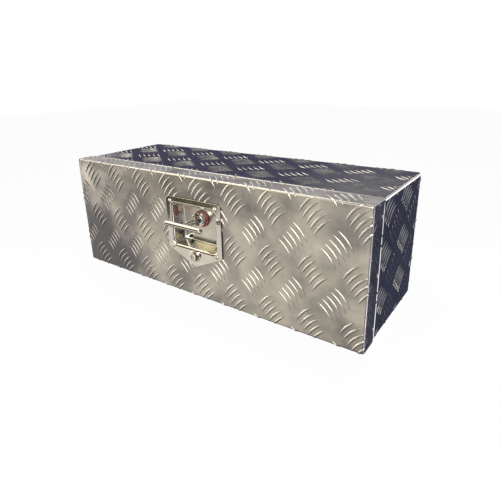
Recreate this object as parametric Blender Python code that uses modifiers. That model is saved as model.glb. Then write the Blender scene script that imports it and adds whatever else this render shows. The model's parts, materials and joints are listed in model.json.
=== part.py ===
"""Trailer storage box: a tread plate body with a drop-down front door and a folding T-handle lock.

The X axis runs along the box, the door faces -Y and Z is up. The origin is the middle of the underside.
All values are in metres.
"""

import math
from itertools import product

import bmesh
import bpy
from mathutils import Matrix

MM = 0.001

# Overall size
BOX_WIDTH = 700 * MM
BOX_DEPTH = 250 * MM
BOX_HEIGHT = 250 * MM

# Sheet metal
SHEET = 2.5 * MM
BEND_INSIDE = 1.5 * MM
FIT = 0.3 * MM
OVERRUN = 5.0 * MM

# Raised bars of the tread plate, in groups that lean one way and the other in turn
BAR_LENGTH = 44.0 * MM
BAR_WIDTH = 5.0 * MM
BAR_HEIGHT = 1.4 * MM
BAR_ARCH = 4.0 * MM
BAR_SUNK = 0.2 * MM
BAR_SPACING = 11.0 * MM
BAR_SHORTEST = 14.0 * MM
BAR_LEAN_DEGREES = 48.5
BARS_IN_GROUP = 5
GROUP_LEAN_DEGREES = 51
GROUP_PITCH = 79.0 * MM
GROUP_ROW_PITCH = 97.5 * MM
GROUP_SHIFT = 3.0 * MM
DOOR_GROUP = (97.0 * MM, 25.0 * MM)
TOP_GROUP = (50.0 * MM, -3.0 * MM)
END_GROUP = (-8.0 * MM, 104.0 * MM)

# Body
DOOR_OVERHANG = 1.0 * MM
LIP = 28.0 * MM

# Door
DOOR_DEPTH = 45.0 * MM
DOOR_GAP = 2.5 * MM
DOOR_LIP = 31.0 * MM
GROUND_GAP = 0.6 * MM
SILL_SHEET = 2.0 * MM
SILL_DEPTH = 20.0 * MM
SILL_HEIGHT = 28.0 * MM
SILL_END_GAP = 5.0 * MM

# Piano hinge
LEAF = 0.8 * MM
KNUCKLE_RADIUS = 2.0 * MM
PIN_PLAY = 0.2 * MM
KNUCKLE_COUNT = 17
HINGE_END_GAP = 10.0 * MM
BODY_LEAF_HEIGHT = 15.8 * MM
DOOR_LEAF_DEPTH = 16.0 * MM
CURL_DEGREES = 293
CURL_STEPS = 8

# Seal round the opening
SEAL_WIDTH = 9.0 * MM
SEAL_EDGE = 0.5 * MM
SEAL_CORNER = 2.0 * MM

# Place of the lock
LOCK_X = 2.0 * MM
HUB_Z = 161.0 * MM
KEY_DROP = 70.0 * MM

# Lock plate and its dish, measured from the hub
PLATE = 1.5 * MM
GASKET = 1.0 * MM
GASKET_INSET = 1.0 * MM
PLATE_HALF_WIDTH = 68.5 * MM
PLATE_RISE = 45.0 * MM
PLATE_SIDE_DROP = 62.0 * MM
PLATE_TIP_DROP = 94.0 * MM
PLATE_CORNER = 9.0 * MM
PLATE_SHOULDER = 4.0 * MM
DISH_HALF_WIDTH = 54.0 * MM
DISH_RISE = 30.5 * MM
DISH_DROP = 54.0 * MM
DISH_CORNER = 8.0 * MM
DISH_DEPTH = 28.0 * MM
DISH_DRAFT = 3.5 * MM
DISH_FLOOR_RADIUS = 3.0 * MM
DISH_MOUTH = 0.6 * MM
DISH_PLAY = 0.4 * MM

# Rivets of the lock plate
RIVET_X = 56.5 * MM
RIVET_RISE = 35.5 * MM
RIVET_DROP = 59.0 * MM
RIVET_HEAD_RADIUS = 4.0 * MM
RIVET_HEAD_HEIGHT = 1.9 * MM
RIVET_SHANK_RADIUS = 2.1 * MM
RIVET_TAIL_RADIUS = 3.3 * MM
RIVET_TAIL_LENGTH = 3.5 * MM
RIVET_DIMPLE_RADIUS = 1.1 * MM
RIVET_DIMPLE_DEPTH = 0.9 * MM
RIVET_STEPS = 12

# Spindle and what it turns in
BOSS_RADIUS = 14.0 * MM
BOSS_LENGTH = 15.3 * MM
BOSS_CHAMFER = 1.2 * MM
SHAFT_RADIUS = 7.0 * MM
SHAFT_PLAY = 0.35 * MM
SQUARE = 9.6 * MM
STUD_RADIUS = 4.0 * MM
STUD_LENGTH = 10.5 * MM
SHOULDER_LAP = 2.0 * MM
SEAL_RING_RADIUS = 17.0 * MM
SEAL_RING_ROUND = 1.4 * MM
BEARING_FLANGE_RADIUS = 16.0 * MM
BEARING_RADIUS = 10.5 * MM
BEARING_FLANGE = 2.0 * MM
BEARING_LENGTH = 12.3 * MM
CLIP_RADIUS = 9.5 * MM
CLIP = 1.0 * MM
GROOVE_DEPTH = 1.0 * MM

# Folding T-handle
FOLD_DEPTH = 17.1 * MM
ARM = 44.5 * MM
CROSSBAR_RADIUS = 5.25 * MM
CROSSBAR_LENGTH = 90.0 * MM
CROSSBAR_ROUND = 1.5 * MM
STEM_WIDTH = 9.4 * MM
STEM_EYE_RADIUS = 6.2 * MM
STEM_EYE_DEGREES = 120
STEM_NECK = 4.4 * MM
SLOT_PLAY = 0.5 * MM
FOLD_PIN_RADIUS = 2.4 * MM
FOLD_PIN_LENGTH = 25.0 * MM
BUMPER_X = 33.0 * MM
BUMPER_DROP = 43.0 * MM
BUMPER_RADIUS = 4.5 * MM
BUMPER_ROUND = 1.0 * MM

# Latch cam
CAM = 3.0 * MM
CAM_WIDTH = 20.0 * MM
TONGUE_OVERLAP = 14.0 * MM
TONGUE_TAPER = 2.0 * MM
CAM_CORNER = 7.0 * MM
FORK_END = 9.0 * MM
FORK_CORNER = 2.0 * MM
FORK_PLAY = 0.8 * MM
WASHER_RADIUS = 9.0 * MM
WASHER = 1.5 * MM
NUT_FLATS = 13.0 * MM
NUT_HEIGHT = 6.5 * MM

# Push lock
BEZEL_RADIUS = 12.3 * MM
BEZEL = 1.0 * MM
BARREL_RADIUS = 11.3 * MM
BARREL_FLOOR = 2.0 * MM
PLUNGER_RADIUS = 9.2 * MM
PLUNGER_PLAY = 0.3 * MM
PLUNGER_PROUD = 8.9 * MM
PLUNGER_LENGTH = 29.0 * MM
PLUNGER_CHAMFER = 0.8 * MM
PLUNGER_TRAVEL = 7.0 * MM
BOLT_RADIUS = 3.5 * MM
BOLT_PLAY = 0.5 * MM
BOLT_REST_GAP = 1.5 * MM
PLUG_RADIUS = 5.0 * MM
PLUG_PROUD = 0.3 * MM
PLUG_LENGTH = 9.7 * MM
PLUG_PLAY = 0.3 * MM
KEYWAY_HEIGHT = 7.0 * MM
KEYWAY_WIDTH = 1.6 * MM
KEYWAY_DEPTH = 5.0 * MM
CLIP_PLATE_HALF_WIDTH = 16.0 * MM
CLIP_PLATE_TOP = 8.0 * MM
CLIP_PLATE_BOTTOM = 17.0 * MM
BARREL_GROOVE = 0.7 * MM
SPRING_WIRE_RADIUS = 0.5 * MM
SPRING_RADIUS = 6.8 * MM
SPRING_TURNS = 5
SPRING_SPARE = 1.3 * MM
SPRING_POINTS_PER_TURN = 8

# Facets
WELD = 0.01 * MM
BEND_STEPS = 3
ROUND_STEPS = 4
TURN_STEPS = 24
SMALL_TURN_STEPS = 16
BAR_SAMPLES = 24
SMOOTH_DEGREES = 35

# Planes and edges that several pieces share
BEND = SHEET + BEND_INSIDE
HALF_WIDTH = BOX_WIDTH / 2
DOOR_FRONT = -BOX_DEPTH / 2
DOOR_INSIDE = DOOR_FRONT + SHEET
DOOR_REAR = DOOR_FRONT + DOOR_DEPTH
BODY_FRONT = DOOR_REAR + DOOR_GAP
BODY_REAR = BOX_DEPTH / 2
LIP_REAR = BODY_FRONT + SHEET
BODY_HALF_WIDTH = HALF_WIDTH - DOOR_OVERHANG
BODY_TOP = BOX_HEIGHT - DOOR_OVERHANG
WRAP_HALF_WIDTH = BODY_HALF_WIDTH - BEND
PIN_RADIUS = KNUCKLE_RADIUS - LEAF - PIN_PLAY
HINGE_Y = BODY_FRONT - FIT - KNUCKLE_RADIUS
HINGE_Z = GROUND_GAP + SHEET + FIT + LEAF - KNUCKLE_RADIUS
HINGE_HALF_WIDTH = HALF_WIDTH - HINGE_END_GAP
FLANGE_REAR = DOOR_REAR - BEND - FIT
SILL_BASE = HINGE_Z + KNUCKLE_RADIUS + FIT
SILL_TOP = SILL_BASE + SILL_HEIGHT
GASKET_FRONT = DOOR_FRONT - FIT - GASKET
PLATE_REAR = GASKET_FRONT - FIT
PLATE_FRONT = PLATE_REAR - PLATE
DISH_FLOOR = PLATE_FRONT + DISH_DEPTH
DISH_BACK = DISH_FLOOR + PLATE
BOSS_REAR = DISH_FLOOR - 2 * FIT
BOSS_FRONT = BOSS_REAR - BOSS_LENGTH
FOLD_Y = PLATE_FRONT + FOLD_DEPTH
CAM_FRONT = LIP_REAR + FIT
CAM_REAR = CAM_FRONT + CAM
BEARING_FRONT = DISH_BACK + FIT
BEARING_REAR = BEARING_FRONT + BEARING_LENGTH
SLOT_HALF_WIDTH = STEM_WIDTH / 2 + SLOT_PLAY
KEY_Z = HUB_Z - KEY_DROP
PLUNGER_FRONT = PLATE_FRONT - PLUNGER_PROUD
PLUNGER_REAR = PLUNGER_FRONT + PLUNGER_LENGTH
SPRING_SOLID = 2 * SPRING_WIRE_RADIUS * (SPRING_TURNS + 1)
BARREL_REAR = PLUNGER_REAR + PLUNGER_TRAVEL + SPRING_SOLID + SPRING_SPARE + BARREL_FLOOR
RIVET_PLACES = {
    "lock_rivet_1": (-RIVET_X, RIVET_RISE),
    "lock_rivet_2": (RIVET_X, RIVET_RISE),
    "lock_rivet_3": (-RIVET_X, -RIVET_DROP),
    "lock_rivet_4": (RIVET_X, -RIVET_DROP),
}

# How a flat drawing is turned so that its own Z axis runs along X, along -X, or along -Y
ALONG_X = Matrix(((0, 0, 1), (1, 0, 0), (0, 1, 0))).to_4x4()
MIRRORED_X = Matrix(((0, 0, -1), (1, 0, 0), (0, 1, 0))).to_4x4()
ALONG_Y = Matrix(((1, 0, 0), (0, 0, -1), (0, 1, 0))).to_4x4()


def make_material(name, colour, roughness, metallic):
    """A Principled material."""
    material = bpy.data.materials.new(name)
    material.use_nodes = True
    shader = material.node_tree.nodes["Principled BSDF"]
    shader.inputs["Base Color"].default_value = (*colour, 1)
    shader.inputs["Roughness"].default_value = roughness
    shader.inputs["Metallic"].default_value = metallic
    return material


def make_collection(name):
    """A collection in the scene."""
    group = bpy.data.collections.new(name)
    bpy.context.scene.collection.children.link(group)
    return group


def place(name, mesh, material=None):
    """An object among the box's pieces, or among the cutters where it has no material."""
    piece = bpy.data.objects.new(name, mesh)
    if material is None:
        CUTTERS.objects.link(piece)
        piece.hide_render = True
        piece.display_type = "WIRE"
    else:
        PIECES.objects.link(piece)
        mesh.materials.append(material)
    return piece


def from_bmesh(name, shape, material=None):
    """An object from a bmesh, which is freed."""
    mesh = bpy.data.meshes.new(name)
    shape.to_mesh(mesh)
    shape.free()
    return place(name, mesh, material)


def smooth(piece):
    """Smooth shading that leaves the sharp edges sharp."""
    piece.data.shade_smooth()
    piece.data.set_sharp_from_angle(angle=math.radians(SMOOTH_DEGREES))
    return piece


def block(name, low, high, material=None):
    """A box between two corners."""
    shape = bmesh.new()
    size = [top - bottom for bottom, top in zip(low, high)]
    middle = [(top + bottom) / 2 for bottom, top in zip(low, high)]
    matrix = Matrix.Translation(middle) @ Matrix.Diagonal((*size, 1))
    bmesh.ops.create_cube(shape, size=1, matrix=matrix)
    return from_bmesh(name, shape, material)


def rod(name, radius, start, end, turn, centre, steps, material=None):
    """A cylinder from start to end along the turned Z axis, through centre."""
    shape = bmesh.new()
    bmesh.ops.create_cone(shape, cap_ends=True, segments=steps, radius1=radius, radius2=radius,
                          depth=end - start)
    piece = from_bmesh(name, shape, material)
    shift = turn.to_3x3() @ Matrix.Translation((0, 0, (start + end) / 2)).translation
    piece.matrix_world = Matrix.Translation(centre) @ Matrix.Translation(shift) @ turn
    return smooth(piece)


def rounded(corners, steps=ROUND_STEPS):
    """A closed outline from corners (u, v, radius), each rounded by an arc."""
    outline = []
    for index, (u, v, radius) in enumerate(corners):
        if radius == 0:
            outline.append((u, v))
            continue
        before = corners[index - 1]
        after = corners[(index + 1) % len(corners)]
        to_before = math.atan2(before[1] - v, before[0] - u)
        to_after = math.atan2(after[1] - v, after[0] - u)
        opening = (to_after - to_before + math.pi) % math.tau - math.pi
        half = abs(opening) / 2
        bisector = to_before + opening / 2
        reach = radius / math.sin(half)
        centre = (u + reach * math.cos(bisector), v + reach * math.sin(bisector))
        turn = math.copysign(math.pi - 2 * half, -opening)
        first = bisector + math.pi - turn / 2
        for step in range(steps + 1):
            angle = first + turn * step / steps
            outline.append((centre[0] + radius * math.cos(angle), centre[1] + radius * math.sin(angle)))
    return outline


def rectangle(u, v, half_width, half_height, radius):
    """A rectangle with round corners about (u, v)."""
    signs = ((-1, -1), (1, -1), (1, 1), (-1, 1))
    return rounded([(u + a * half_width, v + b * half_height, radius) for a, b in signs])


def circle(u, v, radius, steps):
    """A round outline about (u, v)."""
    angles = [math.tau * step / steps for step in range(steps)]
    return [(u + radius * math.cos(angle), v + radius * math.sin(angle)) for angle in angles]


def as_mesh(guide, material):
    """The mesh object that a curve makes, with its caps welded; the curve is removed."""
    PIECES.objects.link(guide)
    bpy.context.view_layer.update()
    mesh = bpy.data.meshes.new_from_object(guide.evaluated_get(bpy.context.evaluated_depsgraph_get()))
    mesh.materials.clear()
    shape = bmesh.new()
    shape.from_mesh(mesh)
    bmesh.ops.remove_doubles(shape, verts=shape.verts, dist=WELD)
    shape.to_mesh(mesh)
    shape.free()
    name = guide.name
    matrix = guide.matrix_world.copy()
    bpy.data.objects.remove(guide, do_unlink=True)
    piece = place(name, mesh, material)
    piece.matrix_world = matrix
    return smooth(piece)


def extruded(name, outline, turn, start, end, material=None, holes=()):
    """A flat outline with holes, carried from start to end along the turned Z axis."""
    curve = bpy.data.curves.new(name, "CURVE")
    curve.dimensions = "2D"
    curve.fill_mode = "BOTH"
    curve.extrude = abs(end - start) / 2
    for ring in (outline, *holes):
        spline = curve.splines.new("POLY")
        spline.points.add(len(ring) - 1)
        for point, (u, v) in zip(spline.points, ring):
            point.co = (u, v, 0, 1)
        spline.use_cyclic_u = True
    guide = bpy.data.objects.new(name, curve)
    guide.matrix_world = turn @ Matrix.Translation((0, 0, (start + end) / 2))
    return as_mesh(guide, material)


def lofted(name, rings, material=None):
    """A closed solid through outlines (ring, y) of equal point counts, from front to back."""
    shape = bmesh.new()
    loops = [[shape.verts.new((u, y, v)) for u, v in ring] for ring, y in rings]
    for first, second in zip(loops, loops[1:]):
        for index in range(len(first)):
            after = (index + 1) % len(first)
            shape.faces.new((first[index], second[index], second[after], first[after]))
    shape.faces.new(loops[0])
    shape.faces.new(reversed(loops[-1]))
    bmesh.ops.recalc_face_normals(shape, faces=shape.faces)
    return from_bmesh(name, shape, material)


def turned(name, profile, centre, material=None, steps=TURN_STEPS, hollow=False):
    """A profile of (radius, y) turned about an axis along Y; it runs from the front to the back."""
    shape = bmesh.new()
    points = [shape.verts.new((radius, 0, -y)) for radius, y in profile]
    for first, second in zip(points, points[1:]):
        shape.edges.new((first, second))
    if hollow:
        shape.edges.new((points[-1], points[0]))
    piece = from_bmesh(name, shape, material)
    screw = piece.modifiers.new("Turn", "SCREW")
    screw.axis = "Z"
    screw.steps = steps
    screw.render_steps = steps
    screw.use_merge_vertices = True
    screw.merge_threshold = WELD
    piece.matrix_world = Matrix.Translation((centre[0], 0, centre[1])) @ ALONG_Y
    return piece


def fold(piece, thickness):
    """Bend radii on an open sheet, then its thickness on the inner side."""
    bevel = piece.modifiers.new("Bends", "BEVEL")
    bevel.width = thickness + BEND_INSIDE
    bevel.segments = BEND_STEPS
    bevel.limit_method = "ANGLE"
    bevel.use_clamp_overlap = False
    solid = piece.modifiers.new("Sheet", "SOLIDIFY")
    solid.thickness = thickness
    solid.offset = -1
    solid.use_even_offset = True
    return piece


def folded_strip(name, path, half_width, thickness, material):
    """A sheet folded along a path of (y, z) points, whose outer side is on the left of the path."""
    shape = bmesh.new()
    left = [shape.verts.new((-half_width, y, z)) for y, z in path]
    right = [shape.verts.new((half_width, y, z)) for y, z in path]
    for index in range(len(path) - 1):
        shape.faces.new((left[index], right[index], right[index + 1], left[index + 1]))
    return fold(from_bmesh(name, shape, material), thickness)


def folded_pan(name, low, high, open_axis, open_side, lip, material):
    """A box of sheet with one open face, which may keep a lip all round."""
    shape = bmesh.new()
    size = [top - bottom for bottom, top in zip(low, high)]
    middle = [(top + bottom) / 2 for bottom, top in zip(low, high)]
    matrix = Matrix.Translation(middle) @ Matrix.Diagonal((*size, 1))
    bmesh.ops.create_cube(shape, size=1, matrix=matrix)
    shape.normal_update()
    mouth = max(shape.faces, key=lambda face: face.normal[open_axis] * open_side)
    if lip:
        bmesh.ops.inset_region(shape, faces=[mouth], thickness=lip, use_even_offset=True)
    bmesh.ops.delete(shape, geom=[mouth], context="FACES")
    return fold(from_bmesh(name, shape, material), SHEET)


def boolean(piece, tool, operation="DIFFERENCE"):
    """Cuts a piece with a tool, or joins the tool to it."""
    modifier = piece.modifiers.new(tool.name, "BOOLEAN")
    modifier.operation = operation
    modifier.solver = "EXACT"
    modifier.object = tool
    return piece


def longest_run(flags):
    """The first and the last index of the longest unbroken run of true flags."""
    best = (0, -1)
    first = 0
    for index, flag in enumerate([*flags, False]):
        if flag:
            continue
        if index - 1 - first > best[1] - best[0]:
            best = (first, index - 1)
        first = index + 1
    return best


def bar_lines(low, high, start, turn):
    """The arched lines of the bars near a flat face: functions of t, from -1 at one tip to 1 at the other.

    Places are complex numbers u + iv, and turn is 1, or 1j for a pattern turned by a quarter. Groups stand
    on a lattice from start, and lean one way at its points and the other way at the middles of its cells.
    """
    lean = math.radians(BAR_LEAN_DEGREES)
    group_lean = math.radians(GROUP_LEAN_DEGREES)
    reach = math.ceil((high[0] - low[0] + high[1] - low[1]) / GROUP_PITCH)
    lines = []
    for column, row, hand in product(range(-reach, reach), range(-reach, reach), (1, -1)):
        half = (1 - hand) / 4
        shift = 2 * half * GROUP_SHIFT
        group = complex((column + half) * GROUP_PITCH + shift, (row + half) * GROUP_ROW_PITCH)
        along = turn * complex(hand * math.cos(lean), math.sin(lean)) * BAR_LENGTH / 2
        arch = turn * complex(-math.sin(lean), hand * math.cos(lean)) * hand * BAR_ARCH
        step = complex(hand * math.cos(group_lean), -math.sin(group_lean)) * BAR_SPACING
        for index in range(BARS_IN_GROUP):
            middle = complex(*start) + turn * (group + step * (index - (BARS_IN_GROUP - 1) / 2))
            lines.append(lambda t, m=middle, a=along, b=arch: m + a * t + b * (1 / 3 - t * t))
    return lines


def tread_bars(name, low, high, start, turn, matrix, kept_off=None):
    """The raised bars of a flat face with corners low and high (u, v), put in place by a matrix.

    Each bar is a low pyramid on an arched base, sunk a little in the sheet. Its line is cut to the longest
    run that lies on the face and isn't kept off.
    """
    shape = bmesh.new()
    margin = BAR_LENGTH / 2 * BAR_SUNK / BAR_HEIGHT
    samples = [2 * index / BAR_SAMPLES - 1 for index in range(BAR_SAMPLES + 1)]

    def free(spot):
        on_face = all(bottom + margin < value < top - margin
                      for bottom, value, top in zip(low, (spot.real, spot.imag), high))
        return on_face and not (kept_off and kept_off(spot.real, spot.imag))

    for line in bar_lines(low, high, start, turn):
        first, last = longest_run([free(line(t)) for t in samples])
        if (last - first) * BAR_LENGTH / BAR_SAMPLES < BAR_SHORTEST:
            continue
        tips = [line(samples[first]), line(samples[last])]
        middle_t = (samples[first] + samples[last]) / 2
        fullness = 1 - middle_t * middle_t
        foot = line(middle_t)
        side = (tips[1] - tips[0]) / abs(tips[1] - tips[0]) * 1j * BAR_WIDTH / 2 * fullness
        grow = 1 + BAR_SUNK / (BAR_HEIGHT * fullness)
        base = [foot + (corner - foot) * grow for corner in (tips[0], foot + side, tips[1], foot - side)]
        ring = [shape.verts.new((corner.real, corner.imag, -BAR_SUNK)) for corner in base]
        crown = shape.verts.new((foot.real, foot.imag, BAR_HEIGHT * fullness))
        for index, corner in enumerate(ring):
            shape.faces.new((ring[index - 1], corner, crown))
        shape.faces.new((ring[0], ring[1], ring[3]))
        shape.faces.new((ring[1], ring[2], ring[3]))
    shape.transform(matrix)
    bmesh.ops.recalc_face_normals(shape, faces=shape.faces)
    return from_bmesh(name, shape)


def axis_empty(name, location):
    """An empty on a joint's axis."""
    empty = bpy.data.objects.new(name, None)
    PIECES.objects.link(empty)
    empty.location = location
    return empty


def carry(empty, *pieces):
    """Parents pieces to the empty on their joint's axis, where they stand."""
    bpy.context.view_layer.update()
    for piece in pieces:
        piece.parent = empty
        piece.matrix_parent_inverse = empty.matrix_world.inverted()


def build_body():
    """The wrap of tread plate, its two end panels and the seal round the opening."""
    path = [
        (BODY_FRONT, BODY_TOP - LIP),
        (BODY_FRONT, BODY_TOP),
        (BODY_REAR, BODY_TOP),
        (BODY_REAR, 0),
        (BODY_FRONT, 0),
        (BODY_FRONT, LIP),
    ]
    wrap = folded_strip("body_wrap", path, WRAP_HALF_WIDTH, SHEET, TREAD)
    low = (-WRAP_HALF_WIDTH, BODY_FRONT + BEND)
    high = (WRAP_HALF_WIDTH, BODY_REAR - BEND)
    matrix = Matrix.Translation((0, 0, BODY_TOP))
    boolean(wrap, tread_bars("top_bars", low, high, TOP_GROUP, 1j, matrix), "UNION")
    relief_rear = BODY_FRONT + BEND + FIT
    relief_side = WRAP_HALF_WIDTH + FIT
    notches = ((-OVERRUN, LIP + FIT), (BODY_TOP - LIP - FIT, BODY_TOP + OVERRUN))
    for side, word in ((-1, "left"), (1, "right")):
        outer = side * BODY_HALF_WIDTH
        inner = side * (BODY_HALF_WIDTH - LIP)
        low = (min(outer, inner), BODY_FRONT, SHEET + FIT)
        high = (max(outer, inner), BODY_REAR - SHEET - FIT, BODY_TOP - SHEET - FIT)
        panel = folded_pan(f"end_panel_{word}", low, high, 0, -side, 0, TREAD)
        for index, (bottom, top) in enumerate(notches):
            near = side * (relief_side - LIP - OVERRUN)
            far = side * relief_side
            notch = block(f"lip_notch_{word}_{index}", (min(near, far), BODY_FRONT - OVERRUN, bottom),
                          (max(near, far), relief_rear, top))
            boolean(panel, notch)
        low = (BODY_FRONT + BEND, SHEET + FIT + BEND)
        high = (BODY_REAR - SHEET - FIT - BEND, BODY_TOP - SHEET - FIT - BEND)
        matrix = Matrix.Translation((outer, 0, 0)) @ (ALONG_X if side > 0 else MIRRORED_X)
        boolean(panel, tread_bars(f"end_bars_{word}", low, high, END_GROUP, 1j, matrix), "UNION")
    seal_outer = BODY_HALF_WIDTH - LIP + SEAL_EDGE + SEAL_WIDTH
    seal_inner = BODY_HALF_WIDTH - LIP + SEAL_EDGE
    middle = BODY_TOP / 2
    outer_ring = rectangle(0, middle, seal_outer, middle - LIP + SEAL_EDGE + SEAL_WIDTH,
                           SEAL_CORNER + SEAL_WIDTH)
    inner_ring = rectangle(0, middle, seal_inner, middle - LIP + SEAL_EDGE, SEAL_CORNER)
    extruded("opening_seal", outer_ring, ALONG_Y, -BODY_FRONT + FIT, -DOOR_REAR - FIT, RUBBER, [inner_ring])


def curl(far_end, first_angle):
    """A hinge leaf's section: a flat end, then a curl round the pin.

    The leaf is drawn as the body's leaf: it comes down behind the pin and curls under it.
    """
    inner = KNUCKLE_RADIUS - LEAF
    angles = [math.radians(first_angle - CURL_DEGREES * step / CURL_STEPS) for step in range(CURL_STEPS + 1)]
    outside = [(KNUCKLE_RADIUS * math.cos(angle), KNUCKLE_RADIUS * math.sin(angle)) for angle in angles]
    inside = [(inner * math.cos(angle), inner * math.sin(angle)) for angle in reversed(angles)]
    return [(KNUCKLE_RADIUS, far_end), *outside, *inside, (inner, far_end)]


def knuckle_cutter(name, taken):
    """Blocks round the pin over every other knuckle, with play at their ends."""
    shape = bmesh.new()
    pitch = 2 * HINGE_HALF_WIDTH / KNUCKLE_COUNT
    reach = 2 * (KNUCKLE_RADIUS + FIT)
    for index in range(taken, KNUCKLE_COUNT, 2):
        middle = -HINGE_HALF_WIDTH + pitch * (index + 1 / 2)
        outermost = index in (0, KNUCKLE_COUNT - 1)
        length = pitch + 2 * FIT + (2 * OVERRUN if outermost else 0)
        matrix = Matrix.Translation((middle, HINGE_Y, HINGE_Z)) @ Matrix.Diagonal((length, reach, reach, 1))
        bmesh.ops.create_cube(shape, size=1, matrix=matrix)
    return from_bmesh(name, shape)


def build_hinge():
    """The piano hinge along the bottom of the opening: two curled leaves and their pin."""
    half = HINGE_HALF_WIDTH
    body_section = [(HINGE_Y + u, HINGE_Z + v) for u, v in curl(BODY_LEAF_HEIGHT, 0)]
    door_section = [(HINGE_Y - v, HINGE_Z + u) for u, v in curl(DOOR_LEAF_DEPTH, 0)]
    body_leaf = extruded("hinge_leaf_body", body_section, ALONG_X, -half, half, STEEL)
    door_leaf = extruded("hinge_leaf_door", door_section, ALONG_X, -half, half, STEEL)
    boolean(body_leaf, knuckle_cutter("door_knuckle_gaps", 1))
    boolean(door_leaf, knuckle_cutter("body_knuckle_gaps", 0))
    rod("hinge_pin", PIN_RADIUS, -half, half, ALONG_X, (0, HINGE_Y, HINGE_Z), SMALL_TURN_STEPS, STEEL)
    return door_leaf


def dish_rings(grow, floor, front):
    """Sections of the dish, opened out by grow, from in front of its mouth to its floor."""
    middle = HUB_Z + (DISH_RISE - DISH_DROP) / 2
    half_height = (DISH_RISE + DISH_DROP) / 2
    radius = DISH_FLOOR_RADIUS + grow

    def ring(shrink, y):
        return (rectangle(LOCK_X, middle, DISH_HALF_WIDTH + grow - shrink, half_height + grow - shrink,
                          DISH_CORNER + grow - shrink / 2), y)

    rings = [ring(-DISH_MOUTH, front), ring(-DISH_MOUTH, PLATE_FRONT + grow)]
    rings.append(ring(0, PLATE_FRONT + grow + DISH_MOUTH))
    for step in range(ROUND_STEPS + 1):
        angle = math.pi / 2 * step / ROUND_STEPS
        shrink = DISH_DRAFT + radius * (1 - math.cos(angle))
        rings.append(ring(shrink, floor - radius * (1 - math.sin(angle))))
    return rings


def plate_outline(inset):
    """The lock plate's outline: a rectangle whose lower edge runs down to a blunt point."""
    half = PLATE_HALF_WIDTH - inset
    return rounded([
        (LOCK_X - half, HUB_Z + PLATE_RISE - inset, PLATE_CORNER),
        (LOCK_X - half, HUB_Z - PLATE_SIDE_DROP, PLATE_SHOULDER),
        (LOCK_X, HUB_Z - PLATE_TIP_DROP + inset, PLATE_SHOULDER),
        (LOCK_X + half, HUB_Z - PLATE_SIDE_DROP, PLATE_SHOULDER),
        (LOCK_X + half, HUB_Z + PLATE_RISE - inset, PLATE_CORNER),
    ])


def under_lock(x, z):
    """Whether a spot on the door's face lies under the lock plate or within a fit of its edge."""
    across = abs(x - LOCK_X)
    slant = (PLATE_TIP_DROP - PLATE_SIDE_DROP) / PLATE_HALF_WIDTH
    low = HUB_Z - PLATE_TIP_DROP + across * slant - FIT
    return across < PLATE_HALF_WIDTH + FIT and low < z < HUB_Z + PLATE_RISE + FIT


def lock_holes(dish_grow):
    """Outlines of the holes under the lock plate: the dish, the barrel and the four rivets."""
    middle = HUB_Z + (DISH_RISE - DISH_DROP) / 2
    half_height = (DISH_RISE + DISH_DROP) / 2
    dish = rectangle(LOCK_X, middle, DISH_HALF_WIDTH + dish_grow, half_height + dish_grow,
                     DISH_CORNER + dish_grow)
    return [dish, *plate_holes()]


def plate_holes():
    """Outlines of the holes for the barrel and the four rivets."""
    holes = [circle(LOCK_X, KEY_Z, BARREL_RADIUS + FIT, TURN_STEPS)]
    for x, z in RIVET_PLACES.values():
        holes.append(circle(LOCK_X + x, HUB_Z + z, RIVET_SHANK_RADIUS + FIT, RIVET_STEPS))
    return holes


def build_door(door_leaf):
    """The door pan with its return lips, the sill angle and the hinge leaf inside it."""
    low = (-HALF_WIDTH, DOOR_FRONT, GROUND_GAP)
    high = (HALF_WIDTH, DOOR_REAR, BOX_HEIGHT)
    skin = folded_pan("door_skin", low, high, 1, 1, DOOR_LIP, TREAD)
    inside = HALF_WIDTH - SHEET - FIT
    sill_gap = block("sill_gap", (-inside, FLANGE_REAR, -OVERRUN),
                     (inside, DOOR_REAR + OVERRUN, SILL_TOP + FIT))
    boolean(skin, sill_gap)
    for index, hole in enumerate(lock_holes(PLATE + DISH_MOUTH + DISH_PLAY)):
        tool = extruded(f"door_hole_{index}", hole, ALONG_Y, -DOOR_INSIDE - OVERRUN, -DOOR_FRONT + OVERRUN)
        boolean(skin, tool)
    inner = HALF_WIDTH - BEND
    low = (-inner, GROUND_GAP + BEND)
    high = (inner, BOX_HEIGHT - BEND)
    matrix = Matrix.Translation((0, DOOR_FRONT, 0)) @ ALONG_Y
    bars = tread_bars("door_bars", low, high, DOOR_GROUP, 1, matrix, under_lock)
    boolean(skin, bars, "UNION")
    path = [
        (DOOR_REAR - SILL_DEPTH, SILL_BASE),
        (DOOR_REAR, SILL_BASE),
        (DOOR_REAR, SILL_TOP),
    ]
    path.reverse()
    sill = folded_strip("door_sill_angle", path, HALF_WIDTH - SILL_END_GAP, SILL_SHEET, PLAIN)
    return [skin, sill, door_leaf]


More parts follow.
